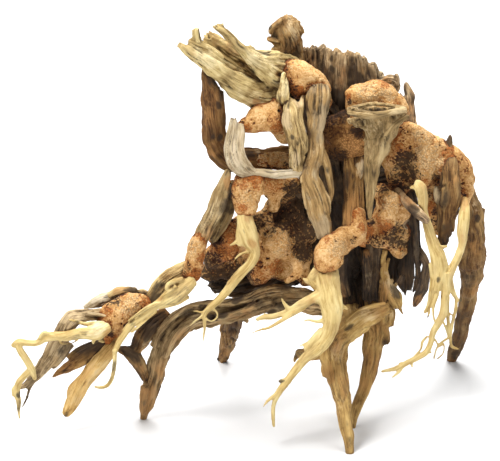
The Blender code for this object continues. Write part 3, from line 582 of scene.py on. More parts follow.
@dataclass(frozen=True)
class WoodFinish:
    """A weathered wood: colours from the bottom of a groove, partly painted shade, to a worn ridge, and its
    other tints.
    """

    slot: Slot
    groove: Colour
    shade: Colour
    body: Colour
    ridge: Colour
    drift: Colour
    pale: Colour = (0.62, 0.47, 0.27)
    rust: Colour = (0.40, 0.19, 0.058)
    dark: Colour = (0.030, 0.018, 0.011)
    # Colour of painted cave shade mixed with dark stain, used where the wood is shut in.
    stain: Colour = (0.15, 0.075, 0.028)
    drifting: float = 0.6
    contrast: float = 0.8
    streak: float = 1.0
    rough: float = 0.82
    bump: float = 0.75

    def material(self, name: str) -> bpy.types.Material:
        """Builds the node tree.

        Args:
            name: the material's name.

        Returns:
            The material.
        """
        shader = Shader(name)
        grain = shader.attribute("grain", "Vector")
        relief = shader.attribute("relief")
        crack = shader.attribute("crack")
        shut = shader.attribute("shut")
        slim = 1.25 / self.streak
        fine = shader.noise(shader.stretched(grain, (slim, slim, 0.06)), 4.0, 0.62)
        line = shader.noise(shader.stretched(grain, (slim * 1.6, slim * 1.6, 0.045)), 2.0, 0.5)
        broad = shader.noise(shader.stretched(grain, (0.26, 0.26, 0.02)), 3.0, 0.55)
        place = shader.node("ShaderNodeTexCoord", {}, {}, "Object")
        slow = shader.noise(shader.stretched(place, (62.0, 62.0, 62.0)), 3.0, 0.6)
        patch = shader.noise(shader.stretched(place, (130.0, 130.0, 130.0)), 4.0, 0.65)
        speck = shader.noise(shader.stretched(place, (900.0, 900.0, 900.0)), 2.0, 0.5)
        streaks = (fine - 0.5) * 1.45 + (broad - 0.5) * 1.35 + (patch - 0.5) * 0.9
        # Painted shade: darker down in the grooves of the relief and paler on its ridges, along with the
        # weathering.
        tone = relief * 0.5 + streaks * self.contrast + 0.4
        # Painted shade: darker where neighbouring pieces close the wood in.
        tone = tone - shut * shut * 0.5 - line.step(0.6, 0.7) * (0.34 * self.contrast)
        stops = [(0.03, self.groove), (0.3, self.shade), (0.58, self.body), (0.92, self.ridge)]
        colour = shader.node("ShaderNodeValToRGB", {"stops": stops}, {0: tone})
        shaded = shader.mix(tone.step(0.0, 0.85), tuple(part * 0.2 for part in self.drift), self.drift)
        drift = (slow + (broad - 0.5) * 0.6).step(0.48, 0.64) * self.drifting
        colour = shader.mix(drift, colour, shaded)
        # Painted shade in caves and crevices, mixed with dark stain, where the wood is shut in.
        stain = (shut + (patch - 0.5) * 0.9).step(0.45, 1.0) * 0.75
        colour = shader.mix(stain, colour, shader.mix(fine.step(0.35, 0.65), self.dark, self.stain))
        wisp = (patch - 0.5) * 1.5 + (fine - 0.5) * 1.4 + (broad - 0.5) * 0.8
        grooves = (1 - fine).step(0.5, 0.66) * 0.6
        # Marks: the dark ones mostly paint shade into holes and caves, some pale ones paint light onto shaded
        # spots, and the rust ones are stains.
        for name_of_tone, tint, share in (
            ("pale", self.pale, 0.75), ("rust", self.rust, 0.62), ("dark", self.dark, 0.86),
        ):
            mark = shader.attribute(name_of_tone)
            ragged = (mark * 1.15 + wisp * mark.step(0.0, 0.25)).step(0.25, 0.95)
            streaked = shader.mix(grooves, tint, tuple(part * 0.5 for part in tint))
            colour = shader.mix(ragged * share, colour, streaked)
        # Painted shade in the cracks.
        colour = shader.mix(crack * 0.85, colour, self.dark)
        freckle = (speck.step(0.3, 0.75) - 0.5) * 0.3 + 0.15
        colour = shader.mix(freckle, colour, (0.5, 0.5, 0.5), "SOFT_LIGHT")
        height = fine * 0.8 + relief * 0.3 + speck * 0.25 - crack * 0.6 - line.step(0.58, 0.7) * 0.3
        rough = (fine - 0.5) * 0.25 + self.rough
        shader.dress(colour, rough, height, 1.2, self.bump)
        return shader.material


@dataclass(frozen=True)
class FillerFinish:
    """Glued sawdust: pale grains, orange body, and red-brown in the pits and along the wood, partly glue
    stain and partly painted shade.
    """

    slot: Slot = Slot.FILLER
    pale: Colour = (0.73, 0.475, 0.225)
    body: Colour = (0.53, 0.28, 0.09)
    deep: Colour = (0.22, 0.066, 0.016)
    dark: Colour = (0.025, 0.011, 0.006)
    rust: Colour = (0.43, 0.125, 0.02)

    def material(self, name: str) -> bpy.types.Material:
        """Builds the node tree.

        Args:
            name: the material's name.

        Returns:
            The material.
        """
        shader = Shader(name)
        place = shader.node("ShaderNodeTexCoord", {}, {}, "Object")
        at = shader.stretched(place, (1000.0, 1000.0, 1000.0))
        pit = shader.attribute("pit")
        seam = shader.attribute("seam")
        shut = shader.attribute("shut")
        cells = {"Vector": at, "Scale": 1.0, "Randomness": 1.0}
        grain = shader.node("ShaderNodeTexVoronoi", {}, cells, "Distance")
        owner = shader.node("ShaderNodeTexVoronoi", {}, cells, "Color")
        clump = shader.noise(shader.stretched(at, (0.42, 0.42, 0.42)), 4.0, 0.65)
        slow = shader.noise(shader.stretched(at, (0.075, 0.075, 0.075)), 3.0, 0.6)
        value = shader.node("ShaderNodeSeparateColor", {}, {0: owner}, 0)
        # Dark specks, more of them along the wood and where the filler is shut in: partly painted shade.
        speckled = (slow + clump * 0.25 + seam * 0.2 + shut * 0.25).step(0.6, 0.85)
        # Painted shade: darker in the pits, where the filler is shut in and where it meets the wood.
        tone = (value - 0.5) * 0.34 + (clump - 0.5) * 0.9 + 0.72 - grain * 0.2 - pit * 0.7
        tone = tone - (slow - 0.5) * 0.5 - shut * shut * 0.45 - seam * seam * 0.22
        tone = tone - speckled * (value * 1.3 + clump * 0.6).step(0.8, 1.5) * 0.62
        stops = [(0.0, self.dark), (0.17, self.deep), (0.46, self.body), (0.8, self.pale)]
        colour = shader.node("ShaderNodeValToRGB", {"stops": stops}, {0: tone})
        # Painted contact shade and glue stain along the wood, and painted shade in shut-in spots.
        seam_shade_and_glue = (seam * 0.8 + clump + shut * 0.4 - 0.75).step(0.1, 0.6)
        colour = shader.mix(seam_shade_and_glue * 0.55, colour, self.deep)
        # Marks: the dark ones mostly paint shade into holes and caves, some pale ones paint light onto shaded
        # spots, and the rust ones are stains.
        for name_of_tone, tint in (("pale", self.pale), ("rust", self.rust), ("dark", self.dark)):
            mark = shader.attribute(name_of_tone)
            rags = ((clump - 0.5) * 2.4 + (value - 0.5) * 0.9) * mark.step(0.0, 0.25)
            ragged = (mark * 1.1 + rags).step(0.1, 0.85)
            grained = shader.mix(grain.step(0.2, 0.7) * 0.5, tint, self.dark)
            colour = shader.mix(ragged * 0.93, colour, grained)
        height = clump * 0.8 + value * 0.3 - grain * 0.5
        shader.dress(colour, 0.9, height, 1.3, 0.75)
        return shader.material


CREAM_WOOD = WoodFinish(
    Slot.CREAM, (0.19, 0.10, 0.025), (0.42, 0.275, 0.085), (0.61, 0.455, 0.185), (0.73, 0.60, 0.29),
    drift=(0.46, 0.28, 0.10), pale=(0.80, 0.68, 0.42), drifting=0.4,
    contrast=0.48, streak=1.3, rough=0.7, bump=0.35,
)
STRAW_WOOD = WoodFinish(
    Slot.STRAW, (0.07, 0.035, 0.012), (0.25, 0.15, 0.052), (0.52, 0.37, 0.155), (0.72, 0.56, 0.28),
    drift=(0.44, 0.24, 0.08), drifting=0.45,
)
GREY_WOOD = WoodFinish(
    Slot.GREY, (0.033, 0.018, 0.008), (0.125, 0.076, 0.03), (0.29, 0.19, 0.085), (0.52, 0.38, 0.195),
    drift=(0.38, 0.20, 0.065), drifting=0.5,
)
BROWN_WOOD = WoodFinish(
    Slot.BROWN, (0.02, 0.009, 0.003), (0.08, 0.036, 0.010), (0.20, 0.100, 0.030), (0.40, 0.24, 0.085),
    drift=(0.27, 0.17, 0.07), drifting=0.5,
)
TAN_WOOD = WoodFinish(
    Slot.TAN, (0.06, 0.027, 0.008), (0.22, 0.12, 0.035), (0.45, 0.28, 0.09), (0.65, 0.46, 0.18),
    drift=(0.36, 0.19, 0.055), drifting=0.7, contrast=0.62,
)
# Near-black wood for the heart and the pieces that hang in the belly: painted shade deep in the belly's
# caves, along with the darkest wood.
DARK_WOOD_AND_SHADE = WoodFinish(
    Slot.DARK, (0.008, 0.006, 0.005), (0.028, 0.018, 0.011), (0.075, 0.047, 0.025),
    (0.19, 0.125, 0.065),
    drift=(0.15, 0.08, 0.03), rough=0.65,
)
LOG_WOOD = replace(
    TAN_WOOD, groove=(0.11, 0.055, 0.017), shade=(0.34, 0.22, 0.075), body=(0.60, 0.45, 0.19),
    ridge=(0.80, 0.65, 0.33), drift=(0.40, 0.25, 0.09), pale=(0.84, 0.70, 0.40), drifting=0.45,
)
KNOB_WOOD = replace(
    TAN_WOOD, groove=(0.06, 0.028, 0.009), shade=(0.23, 0.125, 0.043), body=(0.42, 0.26, 0.10),
    ridge=(0.62, 0.45, 0.21), drift=(0.30, 0.15, 0.05),
)
FOLDED_WOOD = replace(
    STRAW_WOOD, groove=(0.06, 0.03, 0.010), shade=(0.20, 0.12, 0.040), body=(0.44, 0.30, 0.12),
    ridge=(0.68, 0.52, 0.25), drift=(0.36, 0.24, 0.10),
)
CENTRE_WOOD = replace(
    TAN_WOOD, groove=(0.06, 0.03, 0.010), shade=(0.20, 0.115, 0.040), body=(0.37, 0.225, 0.082),
    ridge=(0.56, 0.40, 0.20), drift=(0.30, 0.25, 0.17), drifting=0.5,
)
BOW_WOOD = replace(
    BROWN_WOOD, groove=(0.018, 0.007, 0.002), shade=(0.07, 0.028, 0.007), body=(0.16, 0.070, 0.018),
    ridge=(0.29, 0.15, 0.05), drift=(0.21, 0.115, 0.035),
)
STEM_WOOD = replace(
    BROWN_WOOD, groove=(0.03, 0.013, 0.004), shade=(0.11, 0.048, 0.012), body=(0.27, 0.135, 0.038),
    ridge=(0.50, 0.31, 0.11), drift=(0.40, 0.21, 0.06),
)
PALE_GREY_WOOD = replace(
    GREY_WOOD, groove=(0.12, 0.07, 0.03), shade=(0.31, 0.22, 0.12), body=(0.52, 0.415, 0.26),
    ridge=(0.70, 0.60, 0.44), drift=(0.48, 0.33, 0.16), pale=(0.75, 0.66, 0.50), drifting=0.4,
)
HORN_WOOD = replace(
    GREY_WOOD, slot=Slot.BROWN, groove=(0.04, 0.025, 0.015), shade=(0.14, 0.09, 0.05),
    body=(0.32, 0.21, 0.11), ridge=(0.50, 0.37, 0.2), drift=(0.40, 0.22, 0.09),
)
FUNNEL_WOOD = replace(
    GREY_WOOD, groove=(0.055, 0.03, 0.010), shade=(0.17, 0.108, 0.040), body=(0.33, 0.215, 0.086),
    ridge=(0.54, 0.40, 0.20), drift=(0.30, 0.20, 0.08), pale=(0.68, 0.53, 0.30), contrast=0.65,
)
KNEE_WOOD = replace(
    GREY_WOOD, groove=(0.06, 0.035, 0.016), shade=(0.19, 0.125, 0.06), body=(0.40, 0.285, 0.15),
    ridge=(0.60, 0.47, 0.28), drift=(0.44, 0.27, 0.11),
)
FINGER_WOOD = replace(
    STRAW_WOOD, groove=(0.18, 0.085, 0.02), shade=(0.42, 0.235, 0.065), body=(0.64, 0.41, 0.14),
    ridge=(0.76, 0.55, 0.25), drift=(0.50, 0.26, 0.07), drifting=0.4,
)
SLAB_WOOD = replace(
    DARK_WOOD_AND_SHADE, groove=(0.03, 0.018, 0.011), shade=(0.12, 0.075, 0.036), body=(0.30, 0.20, 0.10),
    ridge=(0.50, 0.37, 0.21), drift=(0.38, 0.22, 0.08), rough=0.8, drifting=0.55,
)
SAWDUST = FillerFinish()
# A darker copy of the sawdust for the mound behind the funnel: painted shade under the crown, along with
# browner filler.
SHADED_BROWN_SAWDUST = FillerFinish(
    pale=(0.36, 0.175, 0.05), body=(0.165, 0.068, 0.016), deep=(0.055, 0.018, 0.005),
    rust=(0.60, 0.29, 0.09),
)


@dataclass
class Made:
    """A piece that the workshop built: its object, and where its points are, in millimetres."""

    thing: bpy.types.Object
    points: np.ndarray
    plan: Wood | Mound


class Workshop:
    """Builds the meshes of the pieces and dresses them."""

    def __init__(self) -> None:
        """Sets out the noises that the shapes are worn with."""
        self.made: dict[str, Made] = {}
        self.noise = Noise(SHAPE_SEED)
        self.other = Noise(DETAIL_SEED)

    def shell(self, name: str, points: np.ndarray, faces: list[list[int]]) -> bpy.types.Object:
        """Makes an object out of points in millimetres.

        Args:
            name: the object's name.
            points: rows of x, y and z.
            faces: the corners of each face.

        Returns:
            The object.
        """
        data = bpy.data.meshes.new(name)
        data.from_pydata((points * MM).tolist(), [], faces)
        return linked(name, data)

    def applied(self, thing: bpy.types.Object) -> bpy.types.Object:
        """Replaces the object's mesh by what its modifiers make of it."""
        graph = bpy.context.evaluated_depsgraph_get()
        data = bpy.data.meshes.new_from_object(thing.evaluated_get(graph))
        old = thing.data
        thing.modifiers.clear()
        thing.data = data
        bpy.data.meshes.remove(old)
        return thing

    def swept(self, name: str, courses: list[Course]) -> bpy.types.Object:
        """One object holding the skin of every course, not yet fused."""
        points, faces, count = [], [], 0
        for course in courses:
            skin, rows = course.skin(self.noise)
            points.append(skin)
            faces += [[v + count for v in row if v >= 0] for row in rows.tolist()]
            count += len(skin)
        return self.shell(name, np.vstack(points), faces)

    def fused(self, thing: bpy.types.Object, cell: float) -> bpy.types.Object:
        """Fuses overlapping skins into one.

        Args:
            thing: the object.
            cell: the size of the new mesh's faces, in millimetres.

        Returns:
            The same object.
        """
        remesh = thing.modifiers.new("fuse", "REMESH")
        remesh.mode = "VOXEL"
        remesh.voxel_size = cell * MM
        remesh.use_smooth_shade = True
        return self.applied(thing)

    def softened(self, thing: bpy.types.Object, times: int) -> None:
        """Smooths an object's mesh that many times."""
        soften = thing.modifiers.new("soften", "SMOOTH")
        soften.iterations = times
        self.applied(thing)

    def hollowed(self, thing: bpy.types.Object, hollows: tuple[Limb, ...], cell: float) -> bpy.types.Object:
        """Takes hollows out of a fused object.

        Args:
            thing: the object.
            hollows: the room to take out.
            cell: the size of the mesh's faces, in millimetres.

        Returns:
            The same object.
        """
        tool = self.fused(self.swept("hollow", [Course(limb) for limb in hollows]), cell)
        cut = thing.modifiers.new("hollow", "BOOLEAN")
        cut.operation = "DIFFERENCE"
        cut.solver = "MANIFOLD"
        cut.object = tool
        self.applied(thing)
        bpy.data.objects.remove(tool)
        return self.fused(thing, cell)

    def points_of(self, thing: bpy.types.Object) -> tuple[np.ndarray, np.ndarray]:
        """The points of an object, in millimetres, and which way the skin faces at each."""
        count = len(thing.data.vertices)
        points, normals = np.empty(count * 3), np.empty(count * 3)
        thing.data.vertices.foreach_get("co", points)
        thing.data.vertices.foreach_get("normal", normals)
        return points.reshape(-1, 3) / MM, normals.reshape(-1, 3)

    def placed(self, thing: bpy.types.Object, points: np.ndarray) -> np.ndarray:
        """Moves an object's points, none of them below the floor.

        Args:
            thing: the object.
            points: the new places in millimetres.

        Returns:
            The places.
        """
        points[:, 2] = np.maximum(points[:, 2], 0)
        thing.data.vertices.foreach_set("co", (points * MM).ravel())
        thing.data.update()
        return points

    def store(self, thing: bpy.types.Object, **values: np.ndarray) -> None:
        """Keeps values at an object's points for its material, each under its own name."""
        for name, value in values.items():
            kind, part = ("FLOAT_VECTOR", "vector") if value.ndim == 2 else ("FLOAT", "value")
            thing.data.attributes.new(name, kind, "POINT").data.foreach_set(part, value.ravel())

    def marked(
        self, marks: tuple[Mark, ...], points: np.ndarray, ahead: np.ndarray | None = None
    ) -> dict[str, np.ndarray]:
        """How strongly each tone's marks reach each point.

        Args:
            marks: the patches.
            points: rows of x, y and z in millimetres.
            ahead: which way the grain runs at each point, if it has one: the marks are drawn out along it.

        Returns:
            One array of 0 to 1 for each tone.
        """
        found = {tone.value: np.zeros(len(points)) for tone in Tone}
        warp = np.stack([self.other.at(points / 6 + shift, 2) for shift in (3, 51, 87)], 1) * 0.32
        for mark in marks:
            offset = points - board(np.array([mark.place]))[0]
            offset = offset - INTO * (0.65 * (offset @ INTO))[:, None] + warp * mark.radius
            if ahead is not None:
                offset = offset - ahead * (0.4 * np.einsum("ij,ij->i", offset, ahead))[:, None]
            away = np.linalg.norm(offset, axis=1) / mark.radius
            reach = (1 - eased(away, 0.3, 1.35)) * mark.strength
            found[mark.tone.value] = np.maximum(found[mark.tone.value], reach)
        return found

    def carve(self, name: str, plan: Wood) -> None:
        """Builds one piece of wood.

        Args:
            name: the CAD node that it stands for.
            plan: its limbs, hollows, wear and marks.
        """
        courses = [Course(limb) for limb in plan.limbs]
        thing = self.fused(self.swept(name, courses), plan.cell)
        if plan.hollows:
            thing = self.hollowed(thing, plan.hollows, plan.cell)
        self.softened(thing, 2)
        points, normals = self.points_of(thing)
        work = Grainwork(courses, points)
        wear = plan.wear
        slim = np.clip(work.half / 6, 0.2, 1.15)
        wave = self.other.at(points / 11)
        work.across = work.across + 0.9 * wave
        work.deep = work.deep + 0.9 * self.other.at(points / 11 + 31)
        ridges = np.abs(self.noise.at(work.at(wear.width, wear.width * 9))) * 2 - 0.62
        fibres = self.noise.at(work.at(wear.width * 0.3, wear.width * 4), 2)
        plates = self.other.at(work.at(wear.width * 1.2, wear.width * 6))
        split = self.other.at(work.at(wear.width * 0.75, wear.width * 11) + 5.5)
        where = eased(self.noise.at(points / 17 + 9), -0.25, 0.25)
        crack = np.exp(-((split / 0.11) ** 2)) * where * np.clip(wear.cracks, 0, 1)
        rise = (
            wear.lumps * self.noise.at(points / 8.5, 2)
            + wear.ridges * ridges
            + wear.fibres * fibres
            - wear.flakes * eased(plates, 0, 0.1)
            - wear.cracks * crack
        ) * slim
        points = points + normals * rise[:, None]
        spikes = np.maximum(self.other.at(work.at(1.7, 40)), 0) * 2.2
        for left, long, sign in ((work.along, work.frayed_first, -1), (work.left, work.frayed_last, 1)):
            near_end = 1 - eased(left, 0, np.maximum(long, 0.1) * 1.3)
            points = points + work.ahead * (sign * long * spikes * near_end)[:, None]
        points = self.placed(thing, points)
        # The relief and the cracks are kept for the finish, which paints shade into the grooves and cracks.
        relief = np.clip(0.5 + 0.42 * ridges + 0.25 * fibres - 0.2 * eased(plates, 0, 0.1), 0, 1)
        self.store(
            thing, grain=np.stack([work.across + work.shift * 9, work.deep, work.along], 1),
            relief=relief, crack=crack, **self.marked(plan.marks, points, work.ahead),
        )
        self.made[name] = Made(thing, points, plan)

    def heap(self, name: str, plan: Mound) -> None:
        """Builds one mound of filler.

        Args:
            name: the CAD node that it stands for.
            plan: its balls, tongues, hollows and marks.
        """
        middles = board(np.array(plan.balls))
        ball, rounds = round_ball()
        points = np.vstack([middle + ball * (stop[3] + FILLET) for middle, stop in zip(middles, plan.balls)])
        faces = [[v + len(ball) * k for v in face] for k in range(len(middles)) for face in rounds]
        for limb in plan.tongues:
            swollen = replace(limb, route=tuple((*stop[:3], stop[3] + FILLET) for stop in limb.route))
            skin, rows = Course(swollen).skin(self.noise)
            faces += [[v + len(points) for v in row if v >= 0] for row in rows.tolist()]
            points = np.vstack([points, skin])
        thing = self.fused(self.shell(name, points, faces), COARSE)
        self.softened(thing, 16)
        points, normals = self.points_of(thing)
        self.placed(thing, points - normals * FILLET)
        thing = self.fused(thing, plan.cell)
        if plan.hollows:
            thing = self.hollowed(thing, plan.hollows, plan.cell)
        self.softened(thing, 5)
        points, normals = self.points_of(thing)
        lumps = self.noise.at(points / 8.5, 2)
        knobs = self.other.at(points / 2.4 + 4)
        away, _ = self.noise.grains(points / 1.5)
        rough = eased(self.other.at(points / 13 + 8), -0.3, 0.35)
        holes = eased(-self.other.at(points / 2.6 + 40, 2), 0.5, 0.85) * rough
        rise = 0.8 * lumps + (0.12 + 0.25 * rough) * knobs + (0.2 + 0.3 * rough) * (0.55 - away) - 1.1 * holes
        points = self.placed(thing, points + normals * rise[:, None])
        # Pits: the holes and the low places between lumps, which the finish paints darker, as painted shade
        # in those recesses and as the filler's red-brown.
        pit = np.clip(holes + 0.3 * rough * eased(-knobs, 0.1, 0.6) + 0.2 * eased(-lumps, 0.2, 0.8), 0, 1)
        self.store(thing, pit=pit, **self.marked(plan.marks, points))
        self.made[name] = Made(thing, points, plan)

    def seams(self) -> None:
        """Stores how near each point of a piece is to the other kind: filler to wood, and wood to filler. The
        filler's finish paints contact shade and glue stain with it.
        """
        for kind, other, reach in ((Mound, Wood, 3.0), (Wood, Mound, 3.2)):
            others = [made for made in self.made.values() if isinstance(made.plan, other)]
            spots = np.vstack([made.points[::3] for made in others])
            tree = kdtree.KDTree(len(spots))
            for i, spot in enumerate(spots.tolist()):
                tree.insert(spot, i)
            tree.balance()
            for made in self.made.values():
                if isinstance(made.plan, kind):
                    away = np.array([tree.find(spot)[2] for spot in made.points.tolist()])
                    self.store(made.thing, seam=np.clip(1 - away / reach, 0, 1))

    def shut_in(self) -> None:
        """Stores how closed in each point is by the pieces round it, from 0 in the open to 1 in a cave. The
        finishes paint shade with it.
        """
        corners, rows, count = [], [], 0
        for made in self.made.values():
            data = made.thing.data
            data.calc_loop_triangles()
            three = np.empty(len(data.loop_triangles) * 3, np.int32)
            data.loop_triangles.foreach_get("vertices", three)
            corners.append(made.points)
            rows.append(three.reshape(-1, 3) + count)
            count += len(made.points)
        tree = bvhtree.BVHTree.FromPolygons(
            np.vstack(corners).tolist(), np.vstack(rows).tolist(), all_triangles=True
        )
        turn = np.arange(SIGHTS) * GOLDEN_TURN
        level = 1 - 2 * (np.arange(SIGHTS) + 0.5) / SIGHTS
        ring = np.sqrt(1 - level**2)
        ways = np.stack([np.cos(turn) * ring, np.sin(turn) * ring, level], 1)
        for made in self.made.values():
            points, normals = self.points_of(made.thing)
            picked = np.arange(0, len(points), SPARSE)
            near = kdtree.KDTree(len(picked))
            shut = np.empty(len(picked))
            for i, k in enumerate(picked):
                start = points[k] + normals[k] * 0.8
                facing = ways @ normals[k]
                total = blocked = 0.0
                for way, share in zip(ways[facing > 0.15], facing[facing > 0.15]):
                    away = tree.ray_cast(start, way, SIGHT)[3]
                    total += share
                    if away is not None:
                        blocked += share * (1 - away / SIGHT)
                shut[i] = blocked / total
                near.insert(points[k], i)
            near.balance()
            held = np.empty(len(points))
            for i, spot in enumerate(points.tolist()):
                found = near.find_n(spot, 3)
                weights = [1 / (row[2] + 0.3) for row in found]
                held[i] = sum(w * shut[row[1]] for w, row in zip(weights, found)) / sum(weights)
            self.store(made.thing, shut=np.clip(held * 1.35, 0, 1))

    def dress(self, name: str) -> None:
        """Gives a built piece its material, and says which CAD node it stands for."""
        made = self.made[name]
        material = made.plan.finish.material(name)
        made.thing.data.materials.clear()
        made.thing.data.materials.append(material)
        made.thing.data.shade_smooth()
        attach(made.thing, "root")
        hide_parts(name)
        LOG.info("%s: %d faces, %s", name, len(made.thing.data.polygons), made.plan.finish.slot.value)


@dataclass(frozen=True)
class SubAssembly:
    """A group of neighbouring pieces, each a field named after the CAD node that it stands for."""

    def build(self, shop: Workshop) -> None:
        """Builds the mesh of each piece.

        Args:
            shop: where the pieces are made.
        """
        for part in fields(self):
            plan = getattr(self, part.name)
            if isinstance(plan, Wood):
                shop.carve(part.name, plan)
            else:
                shop.heap(part.name, plan)

    def dress(self, shop: Workshop) -> None:
        """Gives each piece its finish.

        Args:
            shop: where the pieces were made.
        """
        for part in fields(self):
            shop.dress(part.name)


